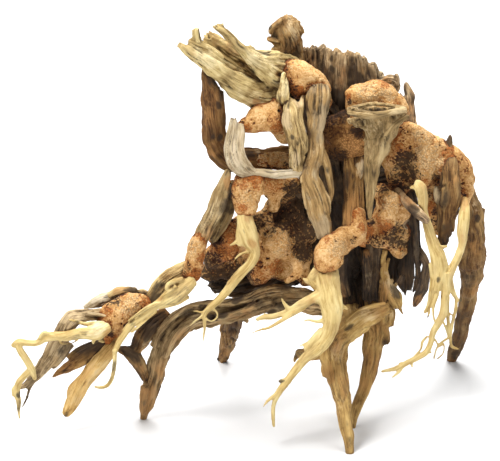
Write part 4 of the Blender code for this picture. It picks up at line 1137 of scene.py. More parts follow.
@dataclass(frozen=True)
class Crown(SubAssembly):
    """The top: the split log, the hooded knob, the dark fluted slab, the horn and the filler there."""

    split_log: Wood = Wood(limbs=(
        Limb(((-43, 243.5, 39, 2), (-39, 240.5, 40, 3.3), (-33, 237, 42, 4.2), (-26, 232.5, 45, 5),
            (-17, 226, 50, 6.3), (-7, 219, 56, 7.8), (2, 214, 62, 8.6), (11.5, 212, 68, 8.4),
            (20, 212, 74, 7.2)), depth=0.8, frayed=(1.5, 0)),
        Limb(((-27, 248, 58, 4.8), (-18.5, 240.5, 64, 7.8), (-9, 233.5, 70, 9), (2, 225, 76, 10.8),
            (12.5, 220, 80, 12)), depth=0.55, frayed=(2.5, 0)),
        Limb(((-21, 254.5, 44, 2.2), (-15, 249.5, 46, 2.8), (-9, 243.5, 49, 3.4), (-2.5, 237.5, 53, 4.2),
            (4, 232, 58, 5.4), (11, 226, 64, 6.6), (17.5, 221.5, 70, 7.2)), depth=0.9, frayed=(2.4, 0)),
        Limb(((-5, 242.5, 54, 1.8), (2, 238, 58, 3.9), (9, 236, 64, 5.7), (17.5, 233.5, 72, 7.2),
            (26, 230, 78, 6.6)), depth=0.7),
        Limb(((-32.5, 244, 44, 3.3), (-33.5, 249, 43, 3), (-34, 253, 42, 2.4)), depth=0.45),
        Limb(((-38.5, 246.5, 42, 1.6), (-33, 244, 43, 3), (-26, 241, 46, 3), (-18.5, 236, 50, 2.4)),
            depth=0.6),
        Limb(((-18, 254.5, 46, 1), (-18, 258.5, 46, 0.5))),
        Limb(((1, 242, 56, 0.7), (-2, 244.5, 55, 0.4))),
        Limb(((18.5, 228, 60, 1.2), (18.5, 221.5, 58, 3), (18, 215.5, 56, 4.4), (17.5, 210, 55, 3.6)),
            depth=0.5),
    ), hollows=(
        Limb(((-18.5, 243.5, 36, 1.2), (-12.5, 238, 42, 2.4), (-6, 231.5, 46, 3.2), (-0.5, 227, 50, 3),
            (4, 222.5, 54, 1.6), (9, 219, 58, 0.8), (14.5, 215, 60, 0.6)), depth=2.2),
        Limb(((-27.5, 250, 42, 1), (-27.5, 249.5, 56, 1))),
    ), marks=patches(
        # Dark marks along the cleft and in the small hole: painted shade.
        dark=((-2, 227.5, 54, 3.4, 1), (-5.5, 231, 54, 3, 0.9), (-10, 235, 52, 2.4, 0.6),
              (3, 223, 56, 1.8, 1), (8.5, 219, 60, 1.2, 0.9), (13, 216, 60, 1.2, 0.9),
              (13, 221.5, 60, 3, 0.35), (-27.5, 251.5, 50, 1.2, 0.9)),
        pale=((18.5, 219, 56, 5, 0.7), (-27, 236, 38, 8, 0.7), (2, 236, 56, 7, 0.6), (14, 232, 66, 8, 0.5),
              (-2, 213.5, 54, 9, 0.45)),
        rust=((-15, 242, 56, 7, 0.55), (-23.5, 248, 54, 5.5, 0.5), (-8, 236, 60, 5, 0.5),
              (-36.5, 237, 38, 3.4, 0.4), (2.5, 210.5, 58, 2.4, 0.9), (15, 227, 62, 2.2, 0.8)),
    ), finish=LOG_WOOD, cell=0.65)
    top_knob: Wood = Wood(limbs=(
        Limb(((24, 225, 88, 7.8), (23, 234.5, 88, 8.4), (21.5, 240.5, 87, 8.4), (21, 246.5, 86, 9.6),
            (20.5, 252.5, 85, 10.2), (20.5, 258, 84, 7.5), (20.5, 261.5, 84, 4.2)), depth=0.8, twist=0.03),
        Limb(((14.5, 247, 80, 3), (11, 248, 79, 2.2), (8.5, 248.5, 79, 1.6))),
        Limb(((19, 260.5, 82, 2.4), (14, 257, 79, 2.2), (11, 254.5, 78, 2), (10.5, 251.5, 78, 1.8))),
        Limb(((18, 240, 82, 4.8), (14, 241, 81, 3), (11.5, 242.5, 81, 1.8))),
    ), hollows=(
        Limb(((8, 254, 62, 2.4), (14.5, 252.5, 68, 4.2), (19, 250, 74, 3)), depth=0.9),
    ), marks=patches(
        # Dark marks in the hollow and on the concave face: painted shade.
        dark=((14.5, 252.5, 74, 6.5, 0.55), (26, 239.5, 78, 4.5, 0.75), (20.5, 244, 76, 5, 0.5),
              (10, 255.5, 78, 1.5, 0.9), (18.5, 238, 76, 3, 0.6)),
        pale=((25, 253, 72, 6, 0.6), (22, 258, 76, 4, 0.5), (28, 244, 78, 4, 0.4)),
        rust=((21.5, 249.5, 74, 2.6, 0.6), (9.5, 248, 77, 3, 0.35)),
    ), finish=KNOB_WOOD, cell=0.65)
    fluted_slab: Wood = Wood(limbs=(
        Limb(((28, 208, 97, 4.8), (30, 227.5, 95, 4.2), (32, 242.5, 94, 2.8)), depth=1.2, frayed=(0, 1.2),
            twist=0.004),
        Limb(((33.5, 203.5, 95, 4.8), (35, 225, 93, 4.2), (36.5, 243, 92, 2.8)), depth=1.2, frayed=(0, 0.9),
            twist=0.004),
        Limb(((39, 200, 97, 4.2), (40, 224, 95, 3.6), (42, 244, 94, 2.3)), depth=1.3, frayed=(0, 0.9),
            twist=0.004),
        Limb(((43, 198.5, 92, 4.2), (45, 221.5, 90, 3.6), (45.5, 242, 90, 2.2)), depth=1.3, frayed=(0, 0.7),
            twist=0.004),
        Limb(((48.5, 198, 95, 4.2), (50.5, 221, 93, 3.6), (51, 241, 93, 2.8)), depth=1.3, frayed=(0, 0.9),
            twist=0.004),
        Limb(((54, 197.5, 93, 3.6), (54.5, 220, 91, 3), (55, 239.5, 91, 1.8)), depth=1.4, frayed=(0, 0.8),
            twist=0.004),
        Limb(((58, 200, 96, 3.6), (59, 221.5, 94, 3), (58, 240.5, 93, 1.8)), depth=1.6, frayed=(0, 1.1),
            twist=0.004),
        Limb(((63, 201, 93, 3.9), (63.5, 221.5, 91, 3.3), (62.5, 239.5, 91, 2.3)), depth=1.3,
            frayed=(0, 0.9), twist=0.004),
        Limb(((68.5, 202, 97, 3.9), (68.5, 220, 95, 3.3), (66.5, 237.5, 95, 2.2)), depth=1.4, frayed=(0, 1),
            twist=0.004),
        Limb(((73, 204.5, 93, 4.2), (74, 219, 91, 3.9), (72, 234, 92, 2.6)), depth=1.1, frayed=(0, 0.4),
            twist=0.004),
        Limb(((78, 208, 96, 4.2), (78, 218, 94, 3.6), (76, 228.5, 94, 2.2)), depth=1.1, frayed=(0, 0.4),
            twist=0.004),
        Limb(((77.5, 222.5, 90, 3), (81, 224, 88, 3.6), (84.5, 223, 87, 3.8), (85.5, 219, 87, 3.2),
            (83, 216, 87, 2.4)), depth=0.8, twist=0.08),
        Limb(((84, 219, 87, 3), (86.5, 221.5, 86, 2), (87, 224.5, 86, 1.7), (86, 227.5, 86, 1.6)),
            twist=0.06),
    ), hollows=(
        Limb(((83, 223, 84, 0.5), (84.5, 221.5, 84, 0.7), (83, 219.5, 84, 0.5)), depth=3.0),
    ), marks=patches(
        dark=((59, 236, 84, 3, 0.8), (59.5, 230, 84, 4.6, 1), (62, 223, 84, 6, 1),
              (68.5, 234.5, 84, 2.4, 0.8), (70, 228, 84, 3.6, 1), (67, 223, 84, 5, 1),
              (47, 237, 86, 1.8, 0.8), (47.5, 230, 86, 2.4, 0.9), (45, 225, 86, 4, 0.7),
              (49, 214, 84, 8, 1), (51.5, 207, 84, 9, 1), (46, 218, 84, 5, 0.9)),
        pale=((41.5, 236, 86, 5, 0.35), (53.5, 233.5, 86, 4, 0.35), (31, 238, 88, 4, 0.7),
              (76, 230, 86, 6, 0.6), (63.5, 239.5, 86, 4, 0.4), (50, 238, 86, 4, 0.35)),
        rust=((36.5, 239.5, 86, 4, 0.4), (54, 228.5, 84, 4, 0.6), (33, 240.5, 86, 5, 0.4),
              (35.5, 234.5, 86, 7, 0.5), (42.5, 221.5, 86, 7, 0.6), (52, 221.5, 84, 4, 0.8),
              (80, 224, 88, 3, 0.6)),
    ), wear=Wear(lumps=0.6, ridges=0.9, width=3.4, fibres=0.4, cracks=1.5, flakes=0.4), finish=SLAB_WOOD)
    right_horn: Wood = Wood(limbs=(
        Limb(((92, 222.5, 88, 1.3), (93, 219, 88, 2.8), (94.5, 214, 87, 3.5), (94.5, 209, 86, 3.4),
            (95, 202, 82, 3.5), (95, 195, 78, 4.2), (93.5, 185.5, 74, 5.4)), crown=0.6),
        Limb(((88.5, 216.5, 86, 0.6), (89.5, 213.5, 85, 1.3), (91, 209.5, 84, 2.4), (93, 203.5, 82, 3),
            (93.5, 197.5, 80, 3.6))),
    ), marks=patches(
        dark=((91, 217, 84, 2, 1), (96.5, 213.5, 84, 3.4, 0.6), (90, 211, 82, 2.4, 0.9)),
        pale=((93, 216, 84, 3, 0.7),),
        rust=((94, 204.5, 80, 4, 0.5),),
    ), finish=HORN_WOOD, cell=0.6)
    head_filler: Mound = Mound(balls=(
        (28, 219, 68, 7.2), (35.5, 224, 74, 7.2), (42.5, 210.5, 76, 5.4)
    ), tongues=(
        Limb(((16, 231, 76, 4.2), (22, 229, 70, 7.2), (28, 227, 66, 9), (35, 224, 65, 8.4),
            (40, 219, 66, 6.6), (42.5, 213.5, 66, 4.8)), depth=0.9, crown=0.8),
    ), marks=patches(
        dark=((30, 212.5, 62, 2, 0.9), (26, 218.5, 60, 2, 0.5)),
        pale=((23.5, 232, 60, 5, 0.4),),
        rust=((27, 216.5, 60, 4.6, 1),),
    ), finish=SAWDUST)
    slab_filler: Mound = Mound(balls=(
        (65.5, 213, 72, 7.8), (78.5, 212.5, 72, 7.8), (72.5, 209.5, 68, 6.6), (82, 204.5, 64, 6),
        (60, 208, 70, 5.4)
    ), tongues=(
        Limb(((56, 213, 70, 3.9), (60.5, 215.5, 69, 5.7), (68, 215.5, 68, 6.9), (75.5, 216.5, 68, 7.2),
            (83, 213.5, 69, 5.7), (89, 209, 69, 3.6), (93.5, 203.5, 68, 2.4)), depth=0.9, crown=0.7),
    ), marks=patches(
        dark=((57.5, 210.5, 64, 2, 0.7),),
        pale=((70, 216.5, 60, 9, 0.6), (81, 215.5, 60, 6, 0.6)),
        rust=((56.5, 214, 64, 2.8, 1), (86.5, 210, 62, 3, 0.7), (78.5, 222, 66, 4, 0.7)),
    ), finish=SAWDUST)


@dataclass(frozen=True)
class Loop(SubAssembly):
    """The loop at the upper left: the bow, the branch in front of it, the crumpled stem and their filler."""

    left_bow: Wood = Wood(limbs=(
        Limb(((-29.5, 230, 50, 1.4), (-27.5, 225, 50, 3.8), (-26, 219, 51, 5.2), (-24.5, 212, 52, 6.6),
            (-24, 203, 53, 7.3), (-23.5, 195, 55, 8), (-22, 187, 57, 7.5), (-19, 180, 59, 7.1),
            (-13, 175, 62, 6.6), (-4, 176.5, 66, 7.2), (6.5, 176, 72, 6.6), (18.5, 177.5, 80, 7.2),
            (27, 179, 84, 6)), depth=0.7),
        Limb(((-19.5, 216, 54, 2.2), (-19.5, 209.5, 54, 2.6), (-20, 200, 55, 2.4)), frayed=(2.6, 0)),
        Limb(((-24.5, 222.5, 52, 1.8), (-21.5, 217, 53, 1.8), (-20.5, 209.5, 54, 1.8)), frayed=(2, 0)),
    ), marks=patches(
        dark=((-20.5, 208, 48, 2, 0.9), (-20.5, 189.5, 48, 2.6, 0.9), (-24, 190, 50, 1.8, 0.8),
              (-25, 224, 48, 5, 0.5), (-19, 214, 50, 3, 0.5), (-3, 179, 60, 4, 0.6)),
        pale=((2, 182, 62, 3, 0.5),),
        rust=((-27, 204.5, 46, 6, 0.5), (-26, 182, 52, 5, 0.5)),
    ), wear=Wear(lumps=0.6, ridges=0.35, width=4.5, fibres=0.2, cracks=0.7, flakes=0.2), finish=BOW_WOOD)
    loop_branch: Wood = Wood(limbs=(
        Limb(((-11.5, 199, 45, 2.4), (-12.5, 193, 42, 3), (-13.5, 186, 40, 3.8), (-13, 179, 38, 4.3),
            (-11, 173, 37, 4.6), (-6.5, 169, 38, 3.8), (-0.5, 167.5, 40, 2.4)), frayed=(1.6, 0), twist=0.0),
        Limb(((-7.5, 197, 46, 2), (-7.5, 191, 42, 2.8), (-8, 183, 39, 3.1), (-7, 176.5, 38, 3.5),
            (-4, 171.5, 38, 3.4), (-0.5, 168.5, 39, 2.4))),
        Limb(((-4, 168.5, 39, 2.4), (5.5, 168, 41, 2.6), (13, 167, 43, 3), (21, 167.5, 45, 2.9),
            (29.5, 168, 47, 2.9))),
    ), hollows=(
        Limb(((-9, 195, 34, 0.3), (-9.5, 188.5, 33, 0.5), (-10, 180.5, 31, 0.3)), depth=5.0),
    ), marks=patches(
        # Dark marks in the slit: painted shade.
        dark=((-9.5, 184, 35, 1.1, 0.9), (-9.5, 189.5, 36, 1.1, 0.9), (-3, 170.5, 34, 1.8, 0.7)),
        rust=((-14.5, 172, 33, 3, 0.4),),
    ), wear=Wear(lumps=0.4, ridges=0.4, width=3.4, fibres=0.25, cracks=0.8, flakes=0.2),
        finish=PALE_GREY_WOOD, cell=0.6)
    crumpled_stem: Wood = Wood(limbs=(
        Limb(((22, 212, 57, 2.4), (20, 205, 53, 2.6), (20, 198, 50, 2.8), (22, 191.5, 49, 3),
            (24, 185, 48, 3.4), (26, 178, 48, 3.6)), depth=0.8),
        Limb(((16, 213.5, 60, 3), (21, 211, 58, 3), (24.5, 206, 53, 3.6), (25, 198.5, 50, 3.9),
            (26.5, 191.5, 48, 3.9), (27, 183.5, 47, 5.3), (26, 176, 47, 5.3), (26, 167.5, 49, 5)),
            depth=0.75, twist=0.05),
        Limb(((30.5, 214, 60, 1.8), (29, 208, 54, 2.4), (28, 201.5, 51, 2.4), (29, 195, 49, 2.4),
            (30.5, 188.5, 48, 2.4), (30.5, 180.5, 47, 2.4)), depth=0.8, twist=0.04),
    ), hollows=(
        Limb(((31, 203.5, 44, 1), (32, 198.5, 47, 1.6), (32.5, 194.5, 50, 1)), depth=3.0),
        Limb(((20.5, 200, 42, 0.5), (23, 194, 43, 0.8), (26, 187, 44, 0.5)), depth=2.0),
        Limb(((26.5, 204.5, 40, 0.4), (24.5, 198.5, 40, 0.7), (27.5, 192, 41, 0.4)), depth=2.0),
    ), marks=patches(
        # Dark marks in the folds: painted shade.
        dark=((32, 198.5, 50, 2.4, 0.9), (23.5, 189, 46, 1.6, 0.8), (21, 210, 54, 3, 0.45)),
        pale=((19, 200, 48, 5, 0.8), (25, 176, 42, 5, 0.7), (27.5, 209.5, 52, 3.6, 0.7)),
        rust=((30, 195, 46, 3, 0.3),),
    ), wear=Wear(lumps=0.9, ridges=0.9, width=3.4, fibres=0.3, cracks=1.4, flakes=0.5), finish=FOLDED_WOOD,
        cell=0.6)
    loop_filler: Mound = Mound(balls=(
        (4, 206, 59, 5.4), (14, 207, 61, 6), (18.5, 201, 62, 5.4)
    ), tongues=(
        Limb(((-9, 196, 50, 4.2), (-2.5, 197, 51, 6), (5, 200.5, 54, 8.8), (12.5, 200, 57, 9),
            (18.5, 192.5, 59, 6), (21, 185.5, 58, 4.2)), depth=0.85, crown=0.6),
        Limb(((-0.5, 175, 64, 3), (9, 176, 66, 5.7), (18.5, 176, 72, 6), (26, 176, 76, 4.8)), depth=0.5),
    ), marks=patches(
        dark=((20, 172, 70, 3, 0.4),),
        # Pale marks on the lower tongue: painted light that lifts the shade under the loop.
        pale=((4, 176, 62, 7, 0.5), (15, 176, 66, 9, 0.5)),
        rust=((-4, 194, 46, 3.6, 0.9), (15, 194.5, 50, 4.4, 0.8), (5.5, 192.5, 50, 3, 0.5)),
    ), finish=SAWDUST)


@dataclass(frozen=True)
class Middle(SubAssembly):
    """The middle: the long centre root, the stem beside it, the funnel root and the filler behind."""

    centre_root: Wood = Wood(limbs=(
        Limb(((40, 220, 62, 5.4), (39.5, 213.5, 57, 7.6), (38.5, 206.5, 56, 7.2), (38.5, 200, 54, 5.8),
            (37.5, 192.5, 52, 4.6), (37.5, 185, 51, 5.3), (37, 178, 49, 5.4), (35, 171.5, 48, 5.3),
            (34, 165.5, 46, 5.7), (36, 159, 45, 6.6), (38.5, 151, 43, 7.2), (40, 144, 41, 6.6),
            (42, 136, 38, 5.4), (43, 129, 35, 4.8)), depth=0.75, twist=0.006),
        Limb(((34, 171, 46, 3), (32.5, 162.5, 44, 3.3), (32, 154, 43, 2.4), (32.5, 147, 42, 1.4)),
            depth=0.6, frayed=(0, 2.5)),
        Limb(((41.5, 182, 51, 1.8), (44, 174, 48, 2.4), (45.5, 165.5, 47, 2.4), (47, 156.5, 47, 2),
            (46, 150, 46, 1.1)), depth=0.6, frayed=(0, 2.5)),
    ), marks=patches(
        dark=((44.5, 170, 46, 2, 0.5), (36, 162, 38, 1.6, 0.5)),
        pale=((38, 216.5, 60, 6, 0.4), (38.5, 179, 44, 6, 0.35)),
        rust=((39, 206, 50, 6, 0.25),),
    ), wear=Wear(lumps=0.6, ridges=0.6, width=4.6, fibres=0.22, cracks=1.2, flakes=0.3), finish=CENTRE_WOOD,
        cell=0.7)
    inner_stem: Wood = Wood(limbs=(
        Limb(((58, 182, 70, 3.6), (58, 171, 66, 3.9), (58, 160, 61, 3.9), (58, 148, 56, 4.2),
            (57, 136, 48, 4.5), (56.5, 123, 42, 4.2)), depth=0.8),
        Limb(((63, 180.5, 70, 3), (63.5, 168.5, 65, 3.3), (63.5, 156.5, 61, 3), (63, 144.5, 56, 3.3),
            (61, 131.5, 48, 3.6)), depth=0.8),
        Limb(((66, 178, 62, 1.3), (65.5, 171, 60, 1.4), (65, 164, 60, 0.8))),
    ), marks=patches(
        dark=((55, 164, 60, 5, 0.8), (60.5, 166, 58, 2, 0.8)),
        pale=((65.5, 171, 58, 4, 1),),
        rust=((60.5, 149, 54, 6, 0.8), (60, 140, 48, 7, 0.8)),
    ), finish=STEM_WOOD)
    funnel_root: Wood = Wood(limbs=(
        Limb(((74.5, 203, 50, 18), (75, 200, 49, 16.8), (75.5, 196, 47, 12.6), (75.5, 192.5, 46, 9.8),
            (74.5, 188, 46, 8.4), (73.5, 180.5, 46, 7), (71.5, 172, 46, 5.3), (70.5, 164, 46, 4.1),
            (70, 154, 46, 3), (70, 146, 46, 1.9), (70, 140.5, 46, 1.1)), depth=0.6, crown=0.08),
        Limb(((57, 205.5, 39, 1.6), (64, 207.5, 41, 1.3), (72, 209, 42, 1.3), (80, 208, 41, 1.2),
            (90.5, 206.5, 42, 1.4)), depth=4.5),
        Limb(((56.5, 204.5, 37, 1.9), (64, 203, 33, 2.8), (74, 202, 31, 2.5), (83.5, 204, 33, 2.2),
            (91, 204.5, 37, 2.2))),
        Limb(((93, 201.5, 42, 1.4), (87.5, 199, 38, 1.8), (83, 195, 34, 1.6), (78.5, 189.5, 33, 1.2))),
        # A strip at the back of the slot, which the dark marks below paint black as the slot's shade.
        Limb(((59.5, 205.5, 50, 1.4), (66.5, 205.5, 50, 2.6), (75, 205, 50, 3), (83.5, 205.5, 50, 2.4),
            (89.5, 206, 50, 1.4)), depth=0.7),
    ), marks=patches(
        # Dark marks along the slot: painted shade.
        dark=((74.5, 205.5, 46, 1.7, 1), (70, 205.5, 46, 1.5, 1), (78.5, 206, 46, 1.5, 1),
              (66, 205.5, 46, 1.1, 1), (82, 206, 46, 1.2, 1), (78.5, 188.5, 34, 1.4, 0.6),
              (79, 183.5, 34, 1.8, 0.8), (59.5, 201, 34, 2, 0.4)),
        pale=((70, 196, 34, 7, 0.35), (64, 203, 30, 6, 0.3), (86.5, 204.5, 32, 5, 0.45)),
        rust=((71.5, 209, 44, 5, 0.4), (71.5, 170, 38, 6, 0.3)),
    ), wear=Wear(lumps=0.6, ridges=0.45, width=4.0, fibres=0.22, cracks=0.9, flakes=0.3),
        finish=FUNNEL_WOOD, cell=0.65)
    inner_filler: Mound = Mound(balls=(
        (48, 195, 70, 8.4), (57, 197.5, 70, 9), (54.5, 185.5, 72, 10.2), (63, 186, 70, 8.4),
        (47.5, 182, 74, 6.6), (65.5, 200, 66, 6.6)
    ), marks=patches(
        # Dark marks: painted shade deep behind the funnel.
        dark=((52, 207, 58, 9, 1), (63, 192.5, 56, 6, 0.9), (46, 201, 58, 6, 0.6), (50, 176, 62, 8, 0.7)),
        rust=((60, 182, 60, 9, 1), (58, 189, 60, 6, 0.8)),
    ), finish=SHADED_BROWN_SAWDUST)


@dataclass(frozen=True)
class Shoulder(SubAssembly):
    """The right shoulder: the big mound, the branch in it, the comb of cream rootlets and the right leg."""

    cone_branch: Wood = Wood(limbs=(
        Limb(((118.5, 191, 66, 0.8), (118, 186.5, 64, 2.4), (116.5, 182, 62, 3), (116, 176, 60, 2.4)),
            frayed=(1, 0)),
        Limb(((119.5, 177, 58, 3), (119, 168.5, 54, 6), (118, 159, 53, 7.4), (117.5, 150.5, 52, 7.2),
            (116, 142, 51, 6), (115, 134, 50, 5.2), (114.5, 126.5, 50, 3.2), (113.5, 122.5, 50, 1.4)),
            depth=0.75),
        Limb(((110, 160, 54, 1.4), (109.5, 155.5, 52, 1.7), (110, 150, 52, 1.1)), crown=0.6),
    ), marks=patches(
        dark=((117.5, 188, 60, 4, 0.8), (114, 152, 46, 5, 0.6), (116, 130, 46, 7, 0.6)),
        pale=((109.5, 155.5, 48, 4, 1),),
        rust=((120.5, 164, 46, 5, 0.5),),
    ), finish=BROWN_WOOD)
    comb_rootlet: Wood = Wood(limbs=(
        Limb(((98, 163, 44, 1.8), (100, 159.5, 43, 3.6), (101.5, 153, 42, 3.1), (102, 146, 41, 2.6),
            (104, 138.5, 40, 2.6), (106, 131.5, 39, 3), (108.5, 124, 38, 3.8), (111, 117, 37, 4.8),
            (112, 111, 37, 5), (111, 104, 36, 4.2), (110, 98, 36, 3)), depth=0.8, crown=0.7),
        Limb(((99.5, 159.5, 43, 1.8), (96, 159.5, 43, 1.3), (94, 159, 43, 0.7))),
        Limb(((127, 153, 56, 1.8), (127, 148, 50, 3), (126.5, 141, 46, 3.7), (125.5, 132.5, 43, 3.4),
            (125.5, 125.5, 40, 2.5), (123, 118, 38, 2.2), (120, 112, 37, 2.4), (117, 105, 36, 3),
            (116.5, 99, 36, 2.8)), depth=0.9),
        Limb(((108, 128, 38, 1.6), (112, 124, 37, 1.1), (116.5, 124, 37, 0.7))),
        Limb(((109, 124, 38, 1.2), (113, 122, 37, 1), (115, 118, 36, 0.8), (116, 112, 36, 1))),
        Limb(((108.5, 113.5, 37, 3), (108, 104, 36, 2), (107, 95, 36, 1.8), (105.5, 88, 36, 1.6),
            (103, 84, 36, 0.9))),
        Limb(((105.5, 90, 36, 1), (106, 85, 36, 0.8), (105, 81, 36, 0.5))),
        Limb(((110.5, 102.5, 36, 1.8), (110.5, 95, 35, 1.2), (108.5, 88, 35, 1.1), (108.5, 82, 35, 0.7),
            (110, 77, 35, 0.8))),
        Limb(((115, 108.5, 36, 3.6), (116, 100, 36, 3), (115, 92.5, 36, 2.5), (114.5, 84.5, 36, 2.5),
            (112, 78.5, 36, 2.3), (108.5, 72.5, 36, 2), (107, 66, 36, 1.8), (104.5, 60.5, 36, 1.9),
            (99.5, 57, 36, 1.8), (93.5, 54, 36, 1.7), (86.5, 50.5, 36, 1.6), (77.5, 48.5, 36, 0.7))),
        Limb(((90, 51.5, 36, 1.3), (87.5, 48, 35, 1), (84, 45, 35, 0.5))),
        Limb(((92.5, 54, 36, 1.1), (88, 53.5, 36, 0.5))),
        Limb(((95.5, 54, 36, 1), (96, 51, 35, 0.5))),
        Limb(((105, 70, 36, 0.7), (102, 66.5, 36, 1), (101, 62, 36, 0.8), (97, 57.5, 36, 0.5))),
        Limb(((104, 60.5, 36, 1.1), (107.5, 60, 36, 0.5))),
        Limb(((117.5, 105, 37, 2.6), (119.5, 98, 38, 1.8), (122.5, 92.5, 38, 1.1), (125.5, 91, 38, 0.5))),
        Limb(((122, 93.5, 38, 1.1), (122, 87, 38, 1.1), (120.5, 80, 39, 1), (119, 72, 40, 1),
            (119, 67, 40, 1), (120, 63.5, 41, 1.1), (124, 62, 41, 0.5))),
        Limb(((117, 94, 38, 1.4), (117, 86, 38, 1.2), (117.5, 78.5, 39, 1.1), (118, 70, 40, 1))),
        Limb(((113.5, 80.5, 37, 0.8), (116, 75, 38, 0.7), (118, 69, 39, 0.7))),
        Limb(((118, 69, 39, 0.9), (114, 66.5, 38, 0.8), (111.5, 64, 38, 0.8), (110, 60.5, 38, 0.6),
            (109, 56, 38, 0.5))),
        Limb(((108.5, 69.5, 37, 0.5), (110.5, 66.5, 37, 0.7), (112, 63.5, 38, 0.6), (115, 65, 38, 0.6),
            (114.5, 59.5, 38, 0.5), (111, 56, 38, 0.5))),
        Limb(((118, 84, 39, 0.5), (120.5, 82, 39, 0.5))),
    ), marks=patches(
        dark=((111, 104, 32, 1.6, 0.9), (107, 92, 33, 5, 0.2), (105, 81, 35, 1.4, 1),
              (93.5, 51, 35, 1.2, 1), (125, 91, 38, 1.2, 1), (104.5, 71.5, 36, 1.4, 1)),
        rust=((127, 150, 46, 4, 1), (124, 128, 38, 4, 0.3), (103, 160, 40, 3, 0.7)),
    ), wear=SMOOTH_WEAR, finish=CREAM_WOOD, cell=0.5)
    bridge_twig: Wood = Wood(limbs=(
        Limb(((86, 158, 62, 2.4), (90.5, 152.5, 54, 2.8), (95, 147, 44, 2.8), (99, 143, 37, 2.9),
            (104, 139, 33, 2.4)), frayed=(0, 1.4)),
        Limb(((92, 153, 52, 1.8), (97, 148, 41, 1.7), (102.5, 143, 35, 1.2), (105.5, 140, 33, 0.7))),
        Limb(((93.5, 140, 48, 1), (91, 137, 46, 1.3), (92.5, 134.5, 45, 1))),
    ), marks=patches(
        dark=((95.5, 145, 40, 4, 0.8),),
        pale=((99, 147.5, 38, 4, 0.6),),
        rust=((94, 150.5, 44, 5, 0.6),),
    ), finish=HORN_WOOD, cell=0.6)
    right_leg: Wood = Wood(limbs=(
        Limb(((128.5, 160, 74, 4.2), (132.5, 150.5, 80, 4.5), (134, 144.5, 84, 5.7), (134, 138.5, 87, 6.3),
            (134.5, 130, 92, 7.2), (134, 122, 97, 8.1), (133, 116, 102, 8.8), (133, 109, 107, 7.8),
            (133, 100, 114, 6.3), (132, 92.5, 121, 5.3), (131, 86, 127, 5), (129.5, 79, 133, 5.3),
            (128, 70, 141, 4.8), (126.5, 63, 147, 4.4), (124, 57, 152, 4), (122.5, 51, 157, 2.8)),
            depth=0.8),
        Limb(((135, 138.5, 88, 2.4), (138.5, 143.5, 87, 1.8), (140, 147, 87, 0.8))),
        Limb(((140, 122, 95, 1.8), (141, 119, 95, 1.2), (142, 117.5, 95, 0.6))),
    ), marks=patches(
        dark=((135.5, 141, 80, 2, 1), (131.5, 142, 80, 5, 0.4), (129, 104, 110, 8, 0.5),
              (128, 80, 130, 7, 0.55), (126, 65, 140, 8, 0.45), (125, 56.5, 150, 4, 0.9)),
        pale=((134, 148, 80, 4, 0.4),),
        rust=((135, 122, 90, 5, 0.5), (136, 98, 112, 4, 0.6)),
    ), wear=Wear(lumps=0.7, ridges=0.4, width=4.6, fibres=0.22, cracks=0.9, flakes=0.3), finish=BROWN_WOOD)
    shoulder_filler: Mound = Mound(balls=(
        (90.5, 186, 66, 10.2), (110, 177.5, 66, 10.8), (116, 177, 66, 8.4), (101.5, 165, 64, 7.8),
        (117, 166, 66, 8.4), (127, 158, 70, 6.6), (87, 192.5, 66, 6.6), (84.5, 177, 68, 8.4),
        (102.5, 177, 64, 10.8), (86, 167.5, 68, 6.6), (87.5, 159.5, 68, 6.6), (126.5, 152, 70, 5.4)
    ), tongues=(
        Limb(((86, 192.5, 62, 3.6), (93, 193, 60, 5.4), (101, 190, 60, 5.7), (106, 185.5, 60, 6),
            (113, 181, 62, 6.6), (121, 176, 64, 6.6), (126.5, 170, 66, 6), (129, 161.5, 68, 5.4)),
            depth=0.9, crown=0.8),
        Limb(((93.5, 198.5, 72, 2.4), (96, 194, 68, 3.6), (100, 188, 62, 4.8))),
        Limb(((101.5, 182, 58, 7.2), (103, 173.5, 56, 7.2), (102.5, 165, 57, 6), (102.5, 158, 58, 4.2)),
            depth=0.8),
        Limb(((116, 176, 58, 5.4), (116.5, 168.5, 58, 5.4), (116.5, 161.5, 58, 4.2)), depth=0.8),
        Limb(((106, 160, 66, 3.6), (107, 152, 64, 4.2), (108, 143.5, 62, 3.8), (110.5, 135, 60, 3),
            (112, 129, 58, 1.8)), depth=0.8),
    ), hollows=(
        Limb(((92.5, 167.5, 30, 5.4), (92.5, 167.5, 46, 5.4), (92.5, 168.5, 58, 3.6)), crown=0.1),
        Limb(((90.5, 176, 34, 3), (91, 176, 48, 3), (92, 176, 56, 1.8)), crown=0.1),
        Limb(((110.5, 163, 34, 3.3), (110.5, 164, 50, 3.3), (110.5, 164, 58, 2.4)), crown=0.1),
    ), marks=patches(
        # Dark marks in and round the holes: painted shade.
        dark=((92, 166, 48, 10, 1), (90.5, 174.5, 50, 8, 1), (88, 160, 52, 6, 1), (84, 166, 54, 5, 0.9),
              (110.5, 164, 50, 3.6, 1), (81, 170.5, 54, 3, 0.8), (79, 160, 54, 4.6, 0.9),
              (106, 155.5, 56, 3, 1), (111, 144.5, 58, 4, 0.8), (111, 137.5, 56, 4.5, 0.8)),
        pale=((107.5, 176, 46, 12, 0.6), (101.5, 191, 50, 8, 0.5)),
        rust=((87.5, 182, 52, 5, 0.9), (84.5, 190, 54, 4.6, 1), (83.5, 176, 52, 5, 0.9),
              (117, 180.5, 54, 5, 0.7), (116, 168.5, 52, 5, 0.6), (102.5, 161.5, 50, 4, 0.7),
              (127, 156.5, 56, 3, 1), (107, 147, 58, 4, 0.9)),
    ), finish=SAWDUST)


